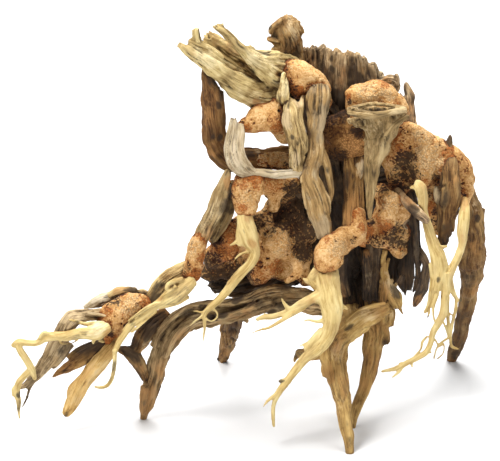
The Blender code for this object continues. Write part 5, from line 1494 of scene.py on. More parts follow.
@dataclass(frozen=True)
class Belly(SubAssembly):
    """The belly: the dark heart, its hanging pieces, the filler round them, the long arm and the back leg."""

    # The heart and the hanging pieces below use near-black wood: painted shade deep in the belly, along with
    # dark wood.
    heart: Wood = Wood(limbs=(
        Limb(((59.5, 81, 70, 13.2), (58, 92, 74, 16.8), (57, 107, 80, 19.2), (54.5, 125, 84, 21.6),
            (53.5, 146, 86, 22.8), (54, 167, 88, 22.8), (55, 185, 90, 20.4), (56, 197.5, 91, 16.2),
            (56.5, 204.5, 92, 10.8)), depth=0.62, flutes=5),
        Limb(((49, 122, 84, 14.4), (30, 117, 82, 14.4), (13, 112, 80, 13.2), (-2, 107.5, 78, 12),
            (-15, 104, 76, 10.8), (-24.5, 101.5, 74, 7.2)), depth=0.6),
        Limb(((52, 152, 90, 15.6), (32, 146, 84, 14.4), (18.5, 142, 80, 12), (9, 137.5, 78, 7.2)),
            depth=0.6),
        Limb(((51, 182, 90, 13.2), (41.5, 201, 88, 12), (29.5, 218, 84, 10.2), (22, 228.5, 82, 7.2))),
        Limb(((67, 167, 84, 13.2), (88, 170, 80, 10.8), (109, 168.5, 76, 9), (129, 162.5, 78, 4.8))),
        Limb(((68, 122, 60, 2.4), (69, 111, 58, 3.6), (69, 101, 57, 3), (68, 92, 57, 2.4))),
        Limb(((55, 117, 62, 3), (54, 106, 60, 3), (56, 94, 60, 3)), frayed=(2, 2)),
    ), hollows=(
        Limb(((59.5, 119, 52, 1.8), (60.5, 108.5, 52, 3), (59.5, 96.5, 52, 2.4)), depth=2.0),
        Limb(((50.5, 164, 56, 1.8), (51.5, 152, 56, 3.6), (52, 138.5, 56, 3)), depth=2.0),
    ), marks=patches(
        # Dark marks in the hollows: painted shade.
        dark=((52, 149, 60, 10, 1), (53.5, 136, 60, 8, 1), (59.5, 110, 58, 9, 0.9)),
        pale=((69, 104, 54, 5, 0.35),),
        rust=((68, 122, 54, 4, 0.9), (65.5, 114.5, 54, 3, 0.6), (54.5, 96.5, 56, 4, 0.5)),
    ), finish=DARK_WOOD_AND_SHADE)
    dark_curtain: Wood = Wood(limbs=(
        Limb(((93, 148, 66, 4.2), (93.5, 137.5, 67, 5.4), (93.5, 123, 67, 5.4), (93, 108.5, 66, 5.4),
            (93, 98.5, 65, 3.6)), depth=0.5, frayed=(0, 3)),
        Limb(((96.5, 143.5, 62, 1.4), (98, 131.5, 61, 1.8), (98.5, 118, 61, 1.8), (99.5, 107, 61, 2),
            (98, 98, 61, 1.6)), frayed=(0, 2)),
        Limb(((99.5, 140, 66, 1.2), (100, 128, 66, 1.2), (101, 114.5, 66, 1.8)), frayed=(0, 2)),
        Limb(((90.5, 106, 62, 1.8), (89, 101.5, 60, 2.2), (90.5, 98, 60, 1.2)), frayed=(0, 2)),
        Limb(((89.5, 161.5, 70, 3.6), (93.5, 156, 70, 5.4), (95, 148, 68, 5.4))),
        Limb(((85, 129, 72, 6), (84.5, 119.5, 72, 6.6), (83.5, 110, 71, 6.6), (83, 101.5, 70, 5.4),
            (82, 94, 68, 3.6)), depth=0.5),
    ), marks=patches(
        dark=((93, 122, 60, 12, 0.6), (84, 114.5, 62, 8, 0.8)),
        pale=((98, 122, 56, 4, 0.35),),
        rust=((98.5, 107, 56, 5, 0.3),),
    ), finish=DARK_WOOD_AND_SHADE)
    dark_stub: Wood = Wood(limbs=(
        Limb(((99.5, 122, 66, 3), (104.5, 113.5, 62, 2.6), (104, 106, 59, 3.1), (102.5, 99, 57, 3.7),
            (99.5, 93, 55, 3.2), (97, 87.5, 54, 1.2)), crown=0.6),
    ), marks=patches(rust=((99, 91, 50, 4, 0.8), (102.5, 99, 50, 4, 0.3))), finish=DARK_WOOD_AND_SHADE)
    black_stem: Wood = Wood(limbs=(
        Limb(((71.5, 130, 64, 2.4), (70, 118, 61, 2.6), (71, 104, 58, 2.4), (70, 92, 57, 3)),
            frayed=(0, 2)),
        Limb(((74.5, 130, 64, 2.4), (75, 118, 62, 3), (75, 104, 60, 2.6), (74, 92, 58, 3)), frayed=(0, 2)),
        Limb(((68, 114.5, 60, 1), (66.5, 105, 58, 1), (66, 95.5, 57, 0.8))),
    ), marks=patches(rust=((71.5, 101, 52, 5, 0.25),)), finish=DARK_WOOD_AND_SHADE)
    sinew_plate: Wood = Wood(limbs=(
        Limb(((80, 122, 62, 1.8), (78.5, 114.5, 59, 1.8), (79, 106, 57, 2.4), (80, 98, 56, 4.2),
            (79, 90.5, 56, 3.6)), depth=0.6, frayed=(0, 1.5)),
        Limb(((82, 117, 62, 1.3), (80.5, 110, 58, 1.3), (81.5, 101.5, 56, 2.4), (85, 94, 55, 4.8),
            (87, 87.5, 55, 3.6)), depth=0.6, frayed=(0, 2)),
        Limb(((87.5, 89, 56, 2.4), (89, 86, 55, 1.2), (90.5, 83, 55, 0.5))),
        Limb(((84.5, 104, 58, 1.2), (82, 102, 56, 1.4), (81, 104.5, 56, 0.8))),
        Limb(((87, 101.5, 60, 1.2), (85, 98, 57, 1.3), (87.5, 96, 57, 1))),
    ), marks=patches(
        dark=((86.5, 96.5, 54, 4, 0.7),),
        pale=((84, 101.5, 52, 6, 0.7),),
        rust=((78, 96.5, 50, 5, 0.7), (81.5, 92, 50, 5, 0.4)),
    ), finish=TAN_WOOD, cell=0.6)
    back_leg: Wood = Wood(limbs=(
        Limb(((6.5, 112, 82, 6.6), (-2, 100, 90, 6.3), (-8.5, 89, 103, 6.3), (-12.5, 78.5, 118, 6.3),
            (-14.5, 70, 130, 6), (-16, 62, 143, 5.1), (-18.5, 54.5, 152, 3.6), (-20, 50, 159, 3))),
        Limb(((-8, 84.5, 108, 3), (-5, 80.5, 111, 2), (-3.5, 77, 114, 1))),
    ), marks=patches(
        dark=((-12.5, 74, 118, 6, 0.5),),
        pale=((-10, 68, 124, 5, 0.35),),
        rust=((-17.5, 58, 140, 5, 0.4),),
    ), finish=BROWN_WOOD)
    long_arm_root: Wood = Wood(limbs=(
        Limb(((51, 89.5, 66, 6.6), (39, 89.5, 60, 7.2), (22, 92.5, 60, 7.2), (7, 91, 61, 7.8),
            (-8, 86, 60, 7.2), (-23, 83.5, 56, 7.6), (-38, 80, 52, 7.2), (-47.5, 73, 49, 7.2),
            (-54, 63, 48, 6.6), (-58, 52, 49, 6), (-61, 41, 51, 6.2), (-63.5, 31, 53, 5),
            (-66, 22, 55, 2.6), (-67, 15.5, 57, 1.8)), depth=0.8),
        Limb(((28, 96, 60, 2.4), (16, 98, 57, 3), (5.5, 96.5, 55, 3.6), (-4, 92.5, 53, 3),
            (-15, 90, 51, 2.4), (-27, 89.5, 49, 2.4), (-39, 87, 47, 2.4), (-48.5, 81.5, 45, 2.4),
            (-56, 73, 43, 2.4), (-60, 63.5, 43, 2.4)), depth=0.8),
        Limb(((11.5, 90, 54, 3), (-0.5, 86.5, 52, 3), (-11.5, 83, 50, 2.4), (-22, 81, 48, 2.4),
            (-33.5, 79, 46, 2.6), (-42.5, 74.5, 43, 3), (-48.5, 66.5, 42, 3), (-53, 57, 42, 2.4)),
            depth=0.8),
        Limb(((-65, 39, 47, 3), (-66.5, 30.5, 49, 2.4), (-67, 22, 52, 1.4)), depth=0.8),
        Limb(((18.5, 88, 58, 2.4), (14, 84.5, 58, 2), (9, 81, 58, 1.2)), frayed=(0, 2)),
    ), hollows=(
        Limb(((-30, 87, 36, 1.6), (-30, 87, 46, 1.6), (-30, 87, 52, 1)), crown=0.1),
        Limb(((-27, 81, 36, 1), (-24, 80.5, 46, 2.2), (-24, 80.5, 50, 1.4)), crown=0.1),
        Limb(((-21.5, 83, 42, 0.4), (-18, 83, 42, 0.8), (-14.5, 82.5, 42, 0.4)), depth=6.0),
        Limb(((14.5, 103, 48, 0.5), (20, 100, 48, 1), (26, 98, 50, 0.5)), depth=6.0),
        Limb(((-12.5, 92, 42, 0.4), (-9, 92, 42, 0.7), (-6, 92.5, 42, 0.3)), depth=6.0),
    ), marks=patches(
        # Dark marks in the holes and slits: painted shade.
        dark=((-30, 87, 46, 2.6, 1), (-25, 80.5, 46, 4, 0.8), (-18, 83, 46, 3, 1), (-9, 92, 50, 3, 1),
              (4, 90, 48, 4, 0.6), (19, 89.5, 50, 7, 0.6), (10, 81, 54, 5, 0.9), (-39.5, 84, 44, 4, 0.7),
              (18.5, 100, 52, 4, 0.9)),
        pale=((13, 94, 50, 6, 0.3), (-29, 76, 44, 6, 0.35)),
        rust=((-42.5, 69, 40, 6, 0.5), (-54.5, 48.5, 42, 8, 0.6), (-63, 35, 44, 9, 0.7),
              (-66, 24.5, 48, 6, 0.7), (-8, 81, 50, 6, 0.5)),
    ), wear=Wear(lumps=0.7, ridges=0.9, width=3.8, fibres=0.32, cracks=1.6, flakes=0.4), finish=GREY_WOOD)
    belly_filler: Mound = Mound(balls=(
        (12.5, 158, 62, 6.6), (20, 158, 62, 6), (23.5, 147, 68, 7.8), (12.5, 147, 70, 6.6),
        (-15, 126.5, 58, 7.8), (-23.5, 118, 58, 7.2), (-3, 130, 62, 9), (9, 128, 62, 9), (20, 124, 60, 8.4),
        (5.5, 112, 60, 9), (28, 118, 66, 8.4), (-5.5, 114.5, 66, 7.2), (-9, 136, 60, 6.6),
        (18.5, 108.5, 66, 6), (32, 132.5, 66, 7.8), (0.5, 138.5, 64, 6), (9, 137.5, 66, 7.2),
        (3, 104, 60, 5.4), (32, 105, 68, 5.4), (-16, 111, 68, 7.8), (-27, 108.5, 66, 6)
    ), tongues=(
        Limb(((5.5, 135, 58, 3.6), (14, 134, 56, 5.4), (22, 132.5, 56, 5.4)), depth=0.8),
        Limb(((5.5, 125.5, 54, 5.4), (14.5, 125.5, 53, 7.2), (21.5, 125, 54, 6)), depth=0.8),
        Limb(((11.5, 117, 54, 4.8), (5.5, 110, 54, 6), (1, 104, 55, 4.2)), depth=0.8),
        Limb(((-26, 125.5, 52, 3), (-21.5, 132, 50, 2.4), (-15, 134.5, 49, 2), (-9, 132.5, 48, 1.8))),
        Limb(((17.5, 164.5, 58, 3), (24, 162.5, 58, 4.5), (28, 156.5, 60, 5.4))),
        Limb(((-13, 166, 52, 2.4), (-13, 159, 52, 3), (-14.5, 150.5, 52, 3), (-17.5, 142, 52, 3.6))),
        Limb(((14, 138.5, 50, 1.8), (9, 143.5, 50, 2.4), (5.5, 137.5, 50, 2.4)), depth=0.8),
        Limb(((26, 114.5, 54, 2.4), (28, 108.5, 52, 3), (23.5, 104.5, 50, 2.4), (17.5, 102, 50, 1.8))),
        Limb(((-18.5, 124, 46, 2.4), (-13, 126.5, 45, 3), (-9, 123, 46, 2.4))),
        Limb(((-24.5, 120.5, 52, 3.6), (-17.5, 120.5, 50, 5.4), (-10, 117, 50, 4.8)), depth=0.7),
    ), hollows=(
        Limb(((12.5, 141, 46, 2.4), (18, 141.5, 46, 3), (23.5, 141.5, 48, 2.4)), depth=4.0),
        Limb(((-23, 128, 40, 1.8), (-20.5, 128.5, 50, 2), (-19, 129, 56, 1.8)), crown=0.1),
    ), marks=patches(
        # Dark marks in the holes and caves of the belly: painted shade.
        dark=((18, 142, 54, 11, 1), (12.5, 148, 56, 8, 0.85), (28, 149, 58, 13, 1), (30.5, 135, 56, 12, 1),
              (30.5, 122, 56, 8, 1), (24.5, 159, 56, 6, 0.9), (-22, 104.5, 56, 17, 1),
              (-9, 104.5, 56, 13, 1), (-30.5, 108.5, 56, 12, 0.9), (3, 138.5, 54, 7, 0.9),
              (-21.5, 128, 50, 5, 1), (9.5, 132, 48, 5, 0.5), (-4, 136, 52, 9, 0.7),
              (5.5, 149.5, 56, 6, 0.7)),
        pale=((18.5, 124, 44, 9, 0.4),),
        rust=((-17.5, 122, 46, 11, 0.9), (-14, 130, 46, 7, 0.7), (14.5, 110.5, 48, 6, 1),
              (2, 106, 48, 8, 0.6), (23.5, 136, 50, 6, 0.6), (14, 161.5, 52, 7, 0.4)),
    ), finish=SAWDUST)
    right_belly_filler: Mound = Mound(balls=(
        (82, 149.5, 62, 8.4), (89.5, 144.5, 62, 6), (78.5, 141, 62, 7.2), (82, 130, 64, 7.8),
        (77.5, 156.5, 66, 6), (88, 122, 64, 5.4), (75, 128, 62, 5.4), (69, 135, 60, 4.2),
        (90.5, 132.5, 66, 5.4)
    ), tongues=(
        Limb(((75, 154, 58, 3.6), (81, 153, 54, 5.4), (87.5, 149.5, 54, 4.8), (93, 143.5, 56, 3)),
            depth=0.8),
        Limb(((76, 146, 54, 5.4), (81.5, 140, 53, 5.4), (87, 137.5, 55, 4.2)), depth=0.8),
        Limb(((68, 142, 54, 1.8), (67, 134, 52, 2.4), (69, 124, 53, 1.8))),
    ), marks=patches(
        dark=((83.5, 128, 50, 7, 0.8), (88, 132.5, 52, 6, 0.9), (90.5, 126, 52, 6, 0.9),
              (75, 126.5, 50, 6, 0.8), (71.5, 138.5, 50, 3, 1), (78.5, 160, 54, 6, 0.8)),
        pale=((83.5, 149.5, 46, 7, 0.5), (90.5, 118, 52, 4, 0.9)),
        rust=((80, 134.5, 50, 6, 1), (69, 132.5, 50, 7, 1), (75, 138.5, 48, 5, 0.7), (81, 122, 50, 5, 0.8)),
    ), finish=SAWDUST)


@dataclass(frozen=True)
class FrontRoots(SubAssembly):
    """The front: the pale root on its orange mound, and the two legs behind it."""

    front_pale_root: Wood = Wood(limbs=(
        Limb(((43, 114.5, 34, 6.6), (44, 108, 29, 7.2), (45, 100, 24, 7.5), (46, 92.5, 20, 7.5),
            (47.5, 85, 17, 6.3), (47, 77.5, 15, 4.8), (44, 69.5, 14, 4.8), (38, 62.5, 12, 4.2),
            (30.5, 56, 11, 3), (24.5, 49, 10, 2.6), (20, 42.5, 9, 2.4), (15.5, 36.5, 8, 2),
            (12.5, 29.5, 8, 1.4), (12, 22, 8, 1.2), (12.5, 15.5, 8, 0.8)), depth=0.8),
        Limb(((39, 110, 28, 3), (35.5, 106, 25, 2.6), (33, 103, 24, 1.8), (30, 105, 24, 0.7))),
        Limb(((39.5, 99, 25, 3), (36, 101.5, 24, 2.4), (33.5, 104, 24, 1.8))),
        Limb(((42.5, 96, 21, 4.2), (35.5, 92.5, 19, 3.6), (28, 88.5, 18, 2.8), (21, 85, 18, 2),
            (12, 82, 18, 1.8), (6, 81.5, 18, 1.6), (2, 80, 18, 1))),
        Limb(((21.5, 86, 18, 1.8), (18.5, 90, 17, 1.1), (17, 93, 17, 0.5))),
        Limb(((30.5, 87.5, 17, 1.8), (24.5, 84, 15.5, 1.6), (18.5, 80.5, 15, 1.3), (10, 75.5, 14, 1.1),
            (4, 74, 14, 0.8), (-1, 72, 14, 0.5))),
        Limb(((10, 82, 18, 1), (6.5, 84, 18, 0.5))),
        Limb(((16, 37, 8, 1.6), (11.5, 33.5, 7, 1.1), (8.5, 31, 7, 0.9), (6, 27.5, 7, 0.5))),
        Limb(((50, 90, 19, 2.4), (54, 88, 18, 1.3), (57, 86.5, 18, 0.6))),
        Limb(((46, 81, 16, 2.4), (39, 79, 14, 1.2), (33.5, 80, 14, 0.8), (29.5, 79, 14, 0.5))),
        Limb(((41.5, 69, 14, 1.8), (35.5, 66.5, 13, 1.2), (32, 66, 13, 0.8), (27.5, 64, 13, 0.5))),
        Limb(((20.5, 44, 9, 1.6), (17, 43.5, 8.5, 1.2), (15.5, 43, 8.5, 0.9)), crown=0.9),
        Limb(((41.5, 74, 15, 2.4), (36.5, 68, 13, 2.6), (32, 62, 12, 2.4))),
    ), hollows=(
        Limb(((28, 83.5, 8, 0.4), (33.5, 86, 8, 0.8), (39, 87.5, 8, 0.5)), depth=6.0),
    ), marks=patches(
        # The dark mark in the slit is painted shade.
        dark=((35, 87, 12, 3, 0.9), (15.5, 43, 6, 2.2, 1), (26, 86, 14, 4, 0.25), (44, 74, 10, 5, 0.2)),
        rust=((34, 90.5, 12, 3, 0.7), (34, 101, 18, 4, 0.5), (47, 97, 10, 2.4, 0.35),
              (41.5, 109, 22, 8, 0.35), (17, 37, 6, 3, 0.3)),
    ), wear=SMOOTH_WEAR, finish=CREAM_WOOD, cell=0.55)
    front_leg: Wood = Wood(limbs=(
        Limb(((56, 71.5, 40, 6), (51, 66.5, 38, 8.4), (48.5, 60, 34, 8.4), (49, 52, 28, 7.2),
            (50.5, 44, 22, 6.6), (53, 34, 16, 5.8), (54.5, 24.5, 11, 5), (56, 15, 7, 4.2),
            (57.5, 6.5, 4, 3.6), (58, -3, -1, 2.7)), twist=0.0),
        Limb(((81.5, 86.5, 48, 3), (75, 84, 46, 5.1), (65.5, 79, 43, 7.2), (57, 72.5, 40, 7.2),
            (48.5, 65, 37, 4.8), (42.5, 60.5, 36, 2.4)), depth=0.55, frayed=(2, 0)),
        Limb(((80, 89.5, 46, 1.6), (71.5, 87, 43, 2.4), (63, 84, 41, 2.4), (56, 78.5, 39, 2.4))),
        Limb(((54.5, 70, 42, 6), (57, 78.5, 54, 7.8), (58, 86, 68, 7.8))),
        Limb(((45, 62, 37, 4.8), (36.5, 59, 38, 4.2), (30.5, 59, 39, 4), (26.5, 60.5, 40, 2.4)), depth=0.5),
        Limb(((28, 60.5, 40, 1.8), (26, 57.5, 40, 1.8), (24.5, 54, 40, 1))),
        Limb(((44, 56, 30, 2.4), (42, 50, 27, 1.6), (42.5, 45, 26, 0.7))),
    ), hollows=(
        Limb(((57.5, 74.5, 30, 1), (59, 75.5, 38, 1)), crown=0.2),
        Limb(((71.5, 81, 32, 0.6), (62, 75.5, 30, 0.8), (53.5, 69, 28, 0.6)), depth=2.0),
    ), marks=patches(
        # The dark mark in the hole is painted shade.
        dark=((58, 75, 34, 2.4, 1), (51, 54.5, 28, 3, 0.5), (28, 59.5, 38, 4, 0.7), (58, 3, 2, 5, 0.5),
              (56, 17, 8, 5, 0.25)),
        pale=((52, 26, 12, 7, 0.3), (68, 82, 40, 6, 0.5), (50, 60.5, 30, 6, 0.35)),
        rust=((50.5, 68, 32, 6, 0.7), (77.5, 87, 44, 5, 0.5), (45, 48.5, 26, 6, 0.7),
              (54.5, 41.5, 20, 5, 0.6)),
    ), wear=Wear(lumps=0.8, ridges=0.3, width=4.6, fibres=0.16, cracks=0.6, flakes=0.3), finish=TAN_WOOD)
    right_inner_leg: Wood = Wood(limbs=(
        Limb(((72.5, 95.5, 64, 5.4), (75, 88, 63, 7.8), (75, 80, 60, 8.4), (74.5, 71.5, 58, 7.5),
            (72.5, 63, 55, 6.3), (71.5, 54.5, 52, 5.2), (69.5, 45, 49, 4.6), (66.5, 36.5, 46, 4.1),
            (63.5, 29.5, 43, 3.4), (61, 21, 41, 2.6), (60, 11.5, 42, 1.8)), depth=0.9),
        Limb(((78.5, 76, 56, 3.6), (80.5, 70, 55, 2.8), (81.5, 65.5, 55, 1.6)), frayed=(0, 1)),
        Limb(((82, 92, 60, 2.4), (84, 84.5, 58, 2.4), (83, 76, 56, 2.4))),
    ), marks=patches(
        dark=((80, 66.5, 50, 3, 0.8), (65.5, 30.5, 42, 5, 0.3), (72.5, 88, 56, 6, 0.5)),
        pale=((83, 83.5, 52, 4, 0.4),),
        rust=((72.5, 56, 48, 8, 0.7), (69, 41.5, 44, 7, 0.6), (76, 77, 52, 8, 0.5)),
    ), wear=Wear(lumps=0.8, ridges=0.3, width=4.6, fibres=0.16, cracks=0.6, flakes=0.3), finish=TAN_WOOD)
    front_filler: Mound = Mound(balls=(
        (53.5, 130, 44, 6), (60.5, 130, 50, 5.4), (46, 123, 38, 7.2), (43, 115, 35, 6.6), (53.5, 124, 42, 6)
    ), tongues=(
        Limb(((63.5, 148, 52, 4.2), (63.5, 139, 50, 5.4), (62, 132, 45, 6.3), (54.5, 129, 39, 6.6),
            (48.5, 125.5, 33, 8.4), (45, 120, 29, 9), (44.5, 114, 27, 9), (45, 110, 27, 7.8)), depth=0.8,
            crown=0.5),
        Limb(((59.5, 132.5, 46, 3), (65.5, 128, 46, 3), (66.5, 122, 48, 1.8))),
    ), hollows=(
        Limb(((58, 114.5, 18, 3.6), (58, 114.5, 44, 3.6)), crown=0.2),
    ), marks=patches(
        dark=((60.5, 128, 38, 3, 0.3),),
        pale=((50, 123, 28, 8, 0.5),),
        rust=((36.5, 111, 26, 2.6, 1), (44, 128, 28, 2.4, 0.7), (63, 143.5, 40, 5, 0.9),
              (46, 110, 20, 3, 0.6), (65.5, 135, 40, 4, 0.8), (66.5, 124, 44, 4, 0.9)),
    ), finish=SAWDUST)


@dataclass(frozen=True)
class Elbow(SubAssembly):
    """The left elbow: the forearm, the bark, the pale fan, the drop rootlet and their filler."""

    drop_rootlet: Wood = Wood(limbs=(
        Limb(((-5.5, 147, 41, 3.6), (-5, 141, 38.5, 4.9), (-3.5, 134, 36.5, 5.6), (-1.5, 127, 35, 5.2),
            (1, 120.5, 34, 3.4), (-1, 114.5, 33, 3), (-6.5, 108.5, 32, 3), (-11.5, 103, 31, 2.9),
            (-16, 97, 31, 2.5), (-21.5, 91, 30, 2.3), (-26.5, 86.5, 30, 2), (-29, 83, 30, 1.6),
            (-29, 75.5, 30, 1), (-30, 67, 30, 0.5)), depth=0.8, crown=0.7),
        Limb(((-7, 137.5, 37, 2.6), (-8, 130, 36, 2.6), (-7, 125, 35, 2.4)), depth=0.7),
        Limb(((-7, 129, 36, 1.8), (-11, 126, 35, 1.2), (-14, 124.5, 35, 0.5))),
        Limb(((0.5, 122, 34, 1.2), (-4, 120.5, 33.5, 0.9), (-8, 119, 33, 0.9), (-11, 116, 32, 0.5))),
        Limb(((-28, 84.5, 30, 1.2), (-32, 81, 30, 0.9), (-35, 79, 30, 0.7), (-38, 76, 29, 0.4))),
        Limb(((-26.5, 86.5, 30, 1.1), (-30.5, 84.5, 30, 0.8), (-33.5, 85, 30, 0.7), (-36, 85, 29, 0.4))),
        Limb(((-26, 87, 30, 1), (-22, 85, 29, 0.8), (-21.5, 81.5, 29, 0.7), (-25, 79, 29, 0.7),
            (-28, 80.5, 29, 0.7))),
        Limb(((-11.5, 104.5, 31, 1.8), (-14.5, 102.5, 31, 1.1), (-15.5, 101.5, 31, 0.6))),
    ), hollows=(
        Limb(((-1, 125.5, 24, 0.7), (-1, 125.5, 31, 0.7)), crown=0.1),
    ), marks=patches(
        dark=((-5.5, 132.5, 30, 2, 0.3),),
        rust=((-0.5, 125.5, 30, 3, 1), (-12.5, 104, 28, 4, 0.5), (-2.5, 143, 34, 4, 0.6),
              (-24.5, 89, 28, 2.4, 0.5)),
    ), wear=SMOOTH_WEAR, finish=CREAM_WOOD, cell=0.5)
    left_forearm: Wood = Wood(limbs=(
        Limb(((-14.5, 170, 42, 1.8), (-17, 162.5, 41, 3.6), (-19, 155.5, 41, 4.8), (-21.5, 147.5, 41, 5),
            (-25, 140, 41, 5.2), (-29.5, 132, 41, 5.2), (-33, 124, 41, 4.2)), depth=0.75),
        Limb(((-11.5, 161.5, 47, 2.4), (-13, 152.5, 48, 3.2), (-15.5, 144, 48, 3.6), (-20, 135, 48, 3.6),
            (-24, 128, 48, 2.4)), frayed=(2, 2)),
    ), marks=patches(
        dark=((-16, 149, 42, 6, 0.6),),
        pale=((-24, 147, 34, 6, 0.6), (-28, 136, 34, 5, 0.5)),
        rust=((-15, 162.5, 36, 3.6, 0.8), (-26.5, 132.5, 36, 5, 0.6)),
    ), finish=FUNNEL_WOOD)
    bark_forearm: Wood = Wood(limbs=(
        Limb(((-36.5, 112, 44, 4.2), (-44, 108, 43, 5.4), (-51, 104, 42, 5.7), (-57, 98, 41, 5.4),
            (-63, 91, 40, 3.6)), depth=0.8),
        Limb(((-42, 111, 46, 2.4), (-48.5, 108, 45, 2.4), (-54.5, 104.5, 44, 2.4), (-59, 99.5, 43, 2.4)),
            frayed=(0, 2)),
    ), marks=patches(
        dark=((-56.5, 99.5, 36, 4, 0.8), (-59, 93.5, 36, 4, 0.8)),
        rust=((-48.5, 106, 38, 7, 0.35), (-39, 104.5, 36, 5, 0.9)),
    ), finish=STRAW_WOOD)
    pale_fan_root: Wood = Wood(limbs=(
        Limb(((-35.5, 104, 36, 3), (-41, 99.5, 34, 5.4), (-47, 95.5, 32, 5.7), (-53, 92, 31, 3.6),
            (-60.5, 87, 29.5, 2.6), (-69, 80.5, 28.5, 2.4), (-75.5, 74, 28, 2.4), (-80.5, 66.5, 27, 2),
            (-83.5, 59.5, 26, 1.7)), depth=0.5),
        Limb(((-42, 104.5, 34, 1.8), (-47.5, 103, 32, 1.6), (-51, 101, 31, 1.4), (-52, 98, 31, 1.2)),
            depth=0.8),
        Limb(((-46, 100, 31, 1.6), (-50, 96.5, 30, 1.4), (-54.5, 93.5, 29.5, 1.2), (-55, 90.5, 29, 1)),
            depth=0.8),
        Limb(((-39, 94, 34, 1.8), (-45, 90.5, 32, 1.8), (-52, 88, 30, 1.2), (-57, 87, 29.5, 1)), depth=0.8),
        Limb(((-53.5, 91, 29, 1.3), (-62, 88, 28, 1.3), (-69, 83.5, 27, 1.2), (-75, 79, 27, 0.8)),
            depth=0.8),
        Limb(((-58, 85, 29, 1), (-64, 80, 28, 0.9), (-70, 74.5, 27, 0.7), (-73, 72, 27, 0.4))),
        Limb(((-83, 62, 26, 1.7), (-83.5, 52, 26, 1.4), (-85, 44.5, 26, 1.3), (-88, 40, 26, 1.3),
            (-92, 39, 26, 1.1), (-95.5, 39.5, 26, 0.7))),
    ), marks=patches(
        dark=((-48.5, 101.5, 28, 2.4, 0.5), (-65, 84.5, 26, 4, 0.35), (-84.5, 47, 24, 7, 0.45),
              (-40, 96.5, 30, 7, 0.25)),
        rust=((-55, 93, 27, 2.4, 0.8), (-44, 103, 30, 4, 0.5)),
    ), wear=Wear(lumps=0.5, ridges=0.45, width=3.0, fibres=0.15, cracks=0.6, flakes=0.15),
        finish=CREAM_WOOD, cell=0.55)
    column_filler: Mound = Mound(balls=(
        (-4, 164, 44, 7.2), (-4, 155.5, 43, 6.6), (6.5, 162, 48, 5.4), (14, 160, 52, 4.8)
    ), tongues=(
        Limb(((-5.5, 168.5, 43, 6.6), (-3.5, 164, 42, 9.6), (-4, 157, 41.5, 9.6), (-4.5, 150, 41, 8.2),
            (-5.5, 143, 41, 6.6)), depth=0.8, crown=0.6),
        Limb(((2, 164, 46, 6), (9, 162.5, 48, 6), (16, 161, 52, 5.4), (21.5, 158, 56, 4.2)), depth=0.8),
        Limb(((10, 158, 50, 3.6), (12.5, 151, 52, 3.6), (11, 144.5, 54, 4.2)), depth=0.8),
    ), marks=patches(
        dark=((21, 158, 48, 4, 0.9),),
        pale=((-3, 153, 32, 8, 0.4),),
        rust=((-0.5, 166, 34, 8, 0.8), (-6.5, 161.5, 34, 4, 0.6), (-14, 162.5, 38, 5, 0.7),
              (-6, 147, 34, 4, 0.7), (11.5, 161.5, 42, 8, 0.45)),
    ), finish=SAWDUST)
    elbow_filler: Mound = Mound(balls=(
        (-33.5, 122, 43, 5.4), (-35.5, 112, 42, 5.4)
    ), tongues=(
        Limb(((-28, 134, 41, 3), (-32, 128, 40, 5.7), (-34.5, 121, 39, 6.6), (-35.5, 114.5, 39, 6.6),
            (-36, 108.5, 39, 5.4), (-33.5, 102, 40, 2.4)), depth=0.8),
        Limb(((-36.5, 111, 41, 3.6), (-40, 107, 39, 3), (-43, 104, 37, 1.8))),
    ), marks=patches(
        dark=((-39, 111, 34, 3, 0.5),),
        pale=((-36.5, 123, 34, 6, 0.5),),
        rust=((-34, 105.5, 34, 6, 1), (-29.5, 130, 36, 4, 0.7), (-30, 117, 38, 5, 0.8)),
    ), finish=SAWDUST)


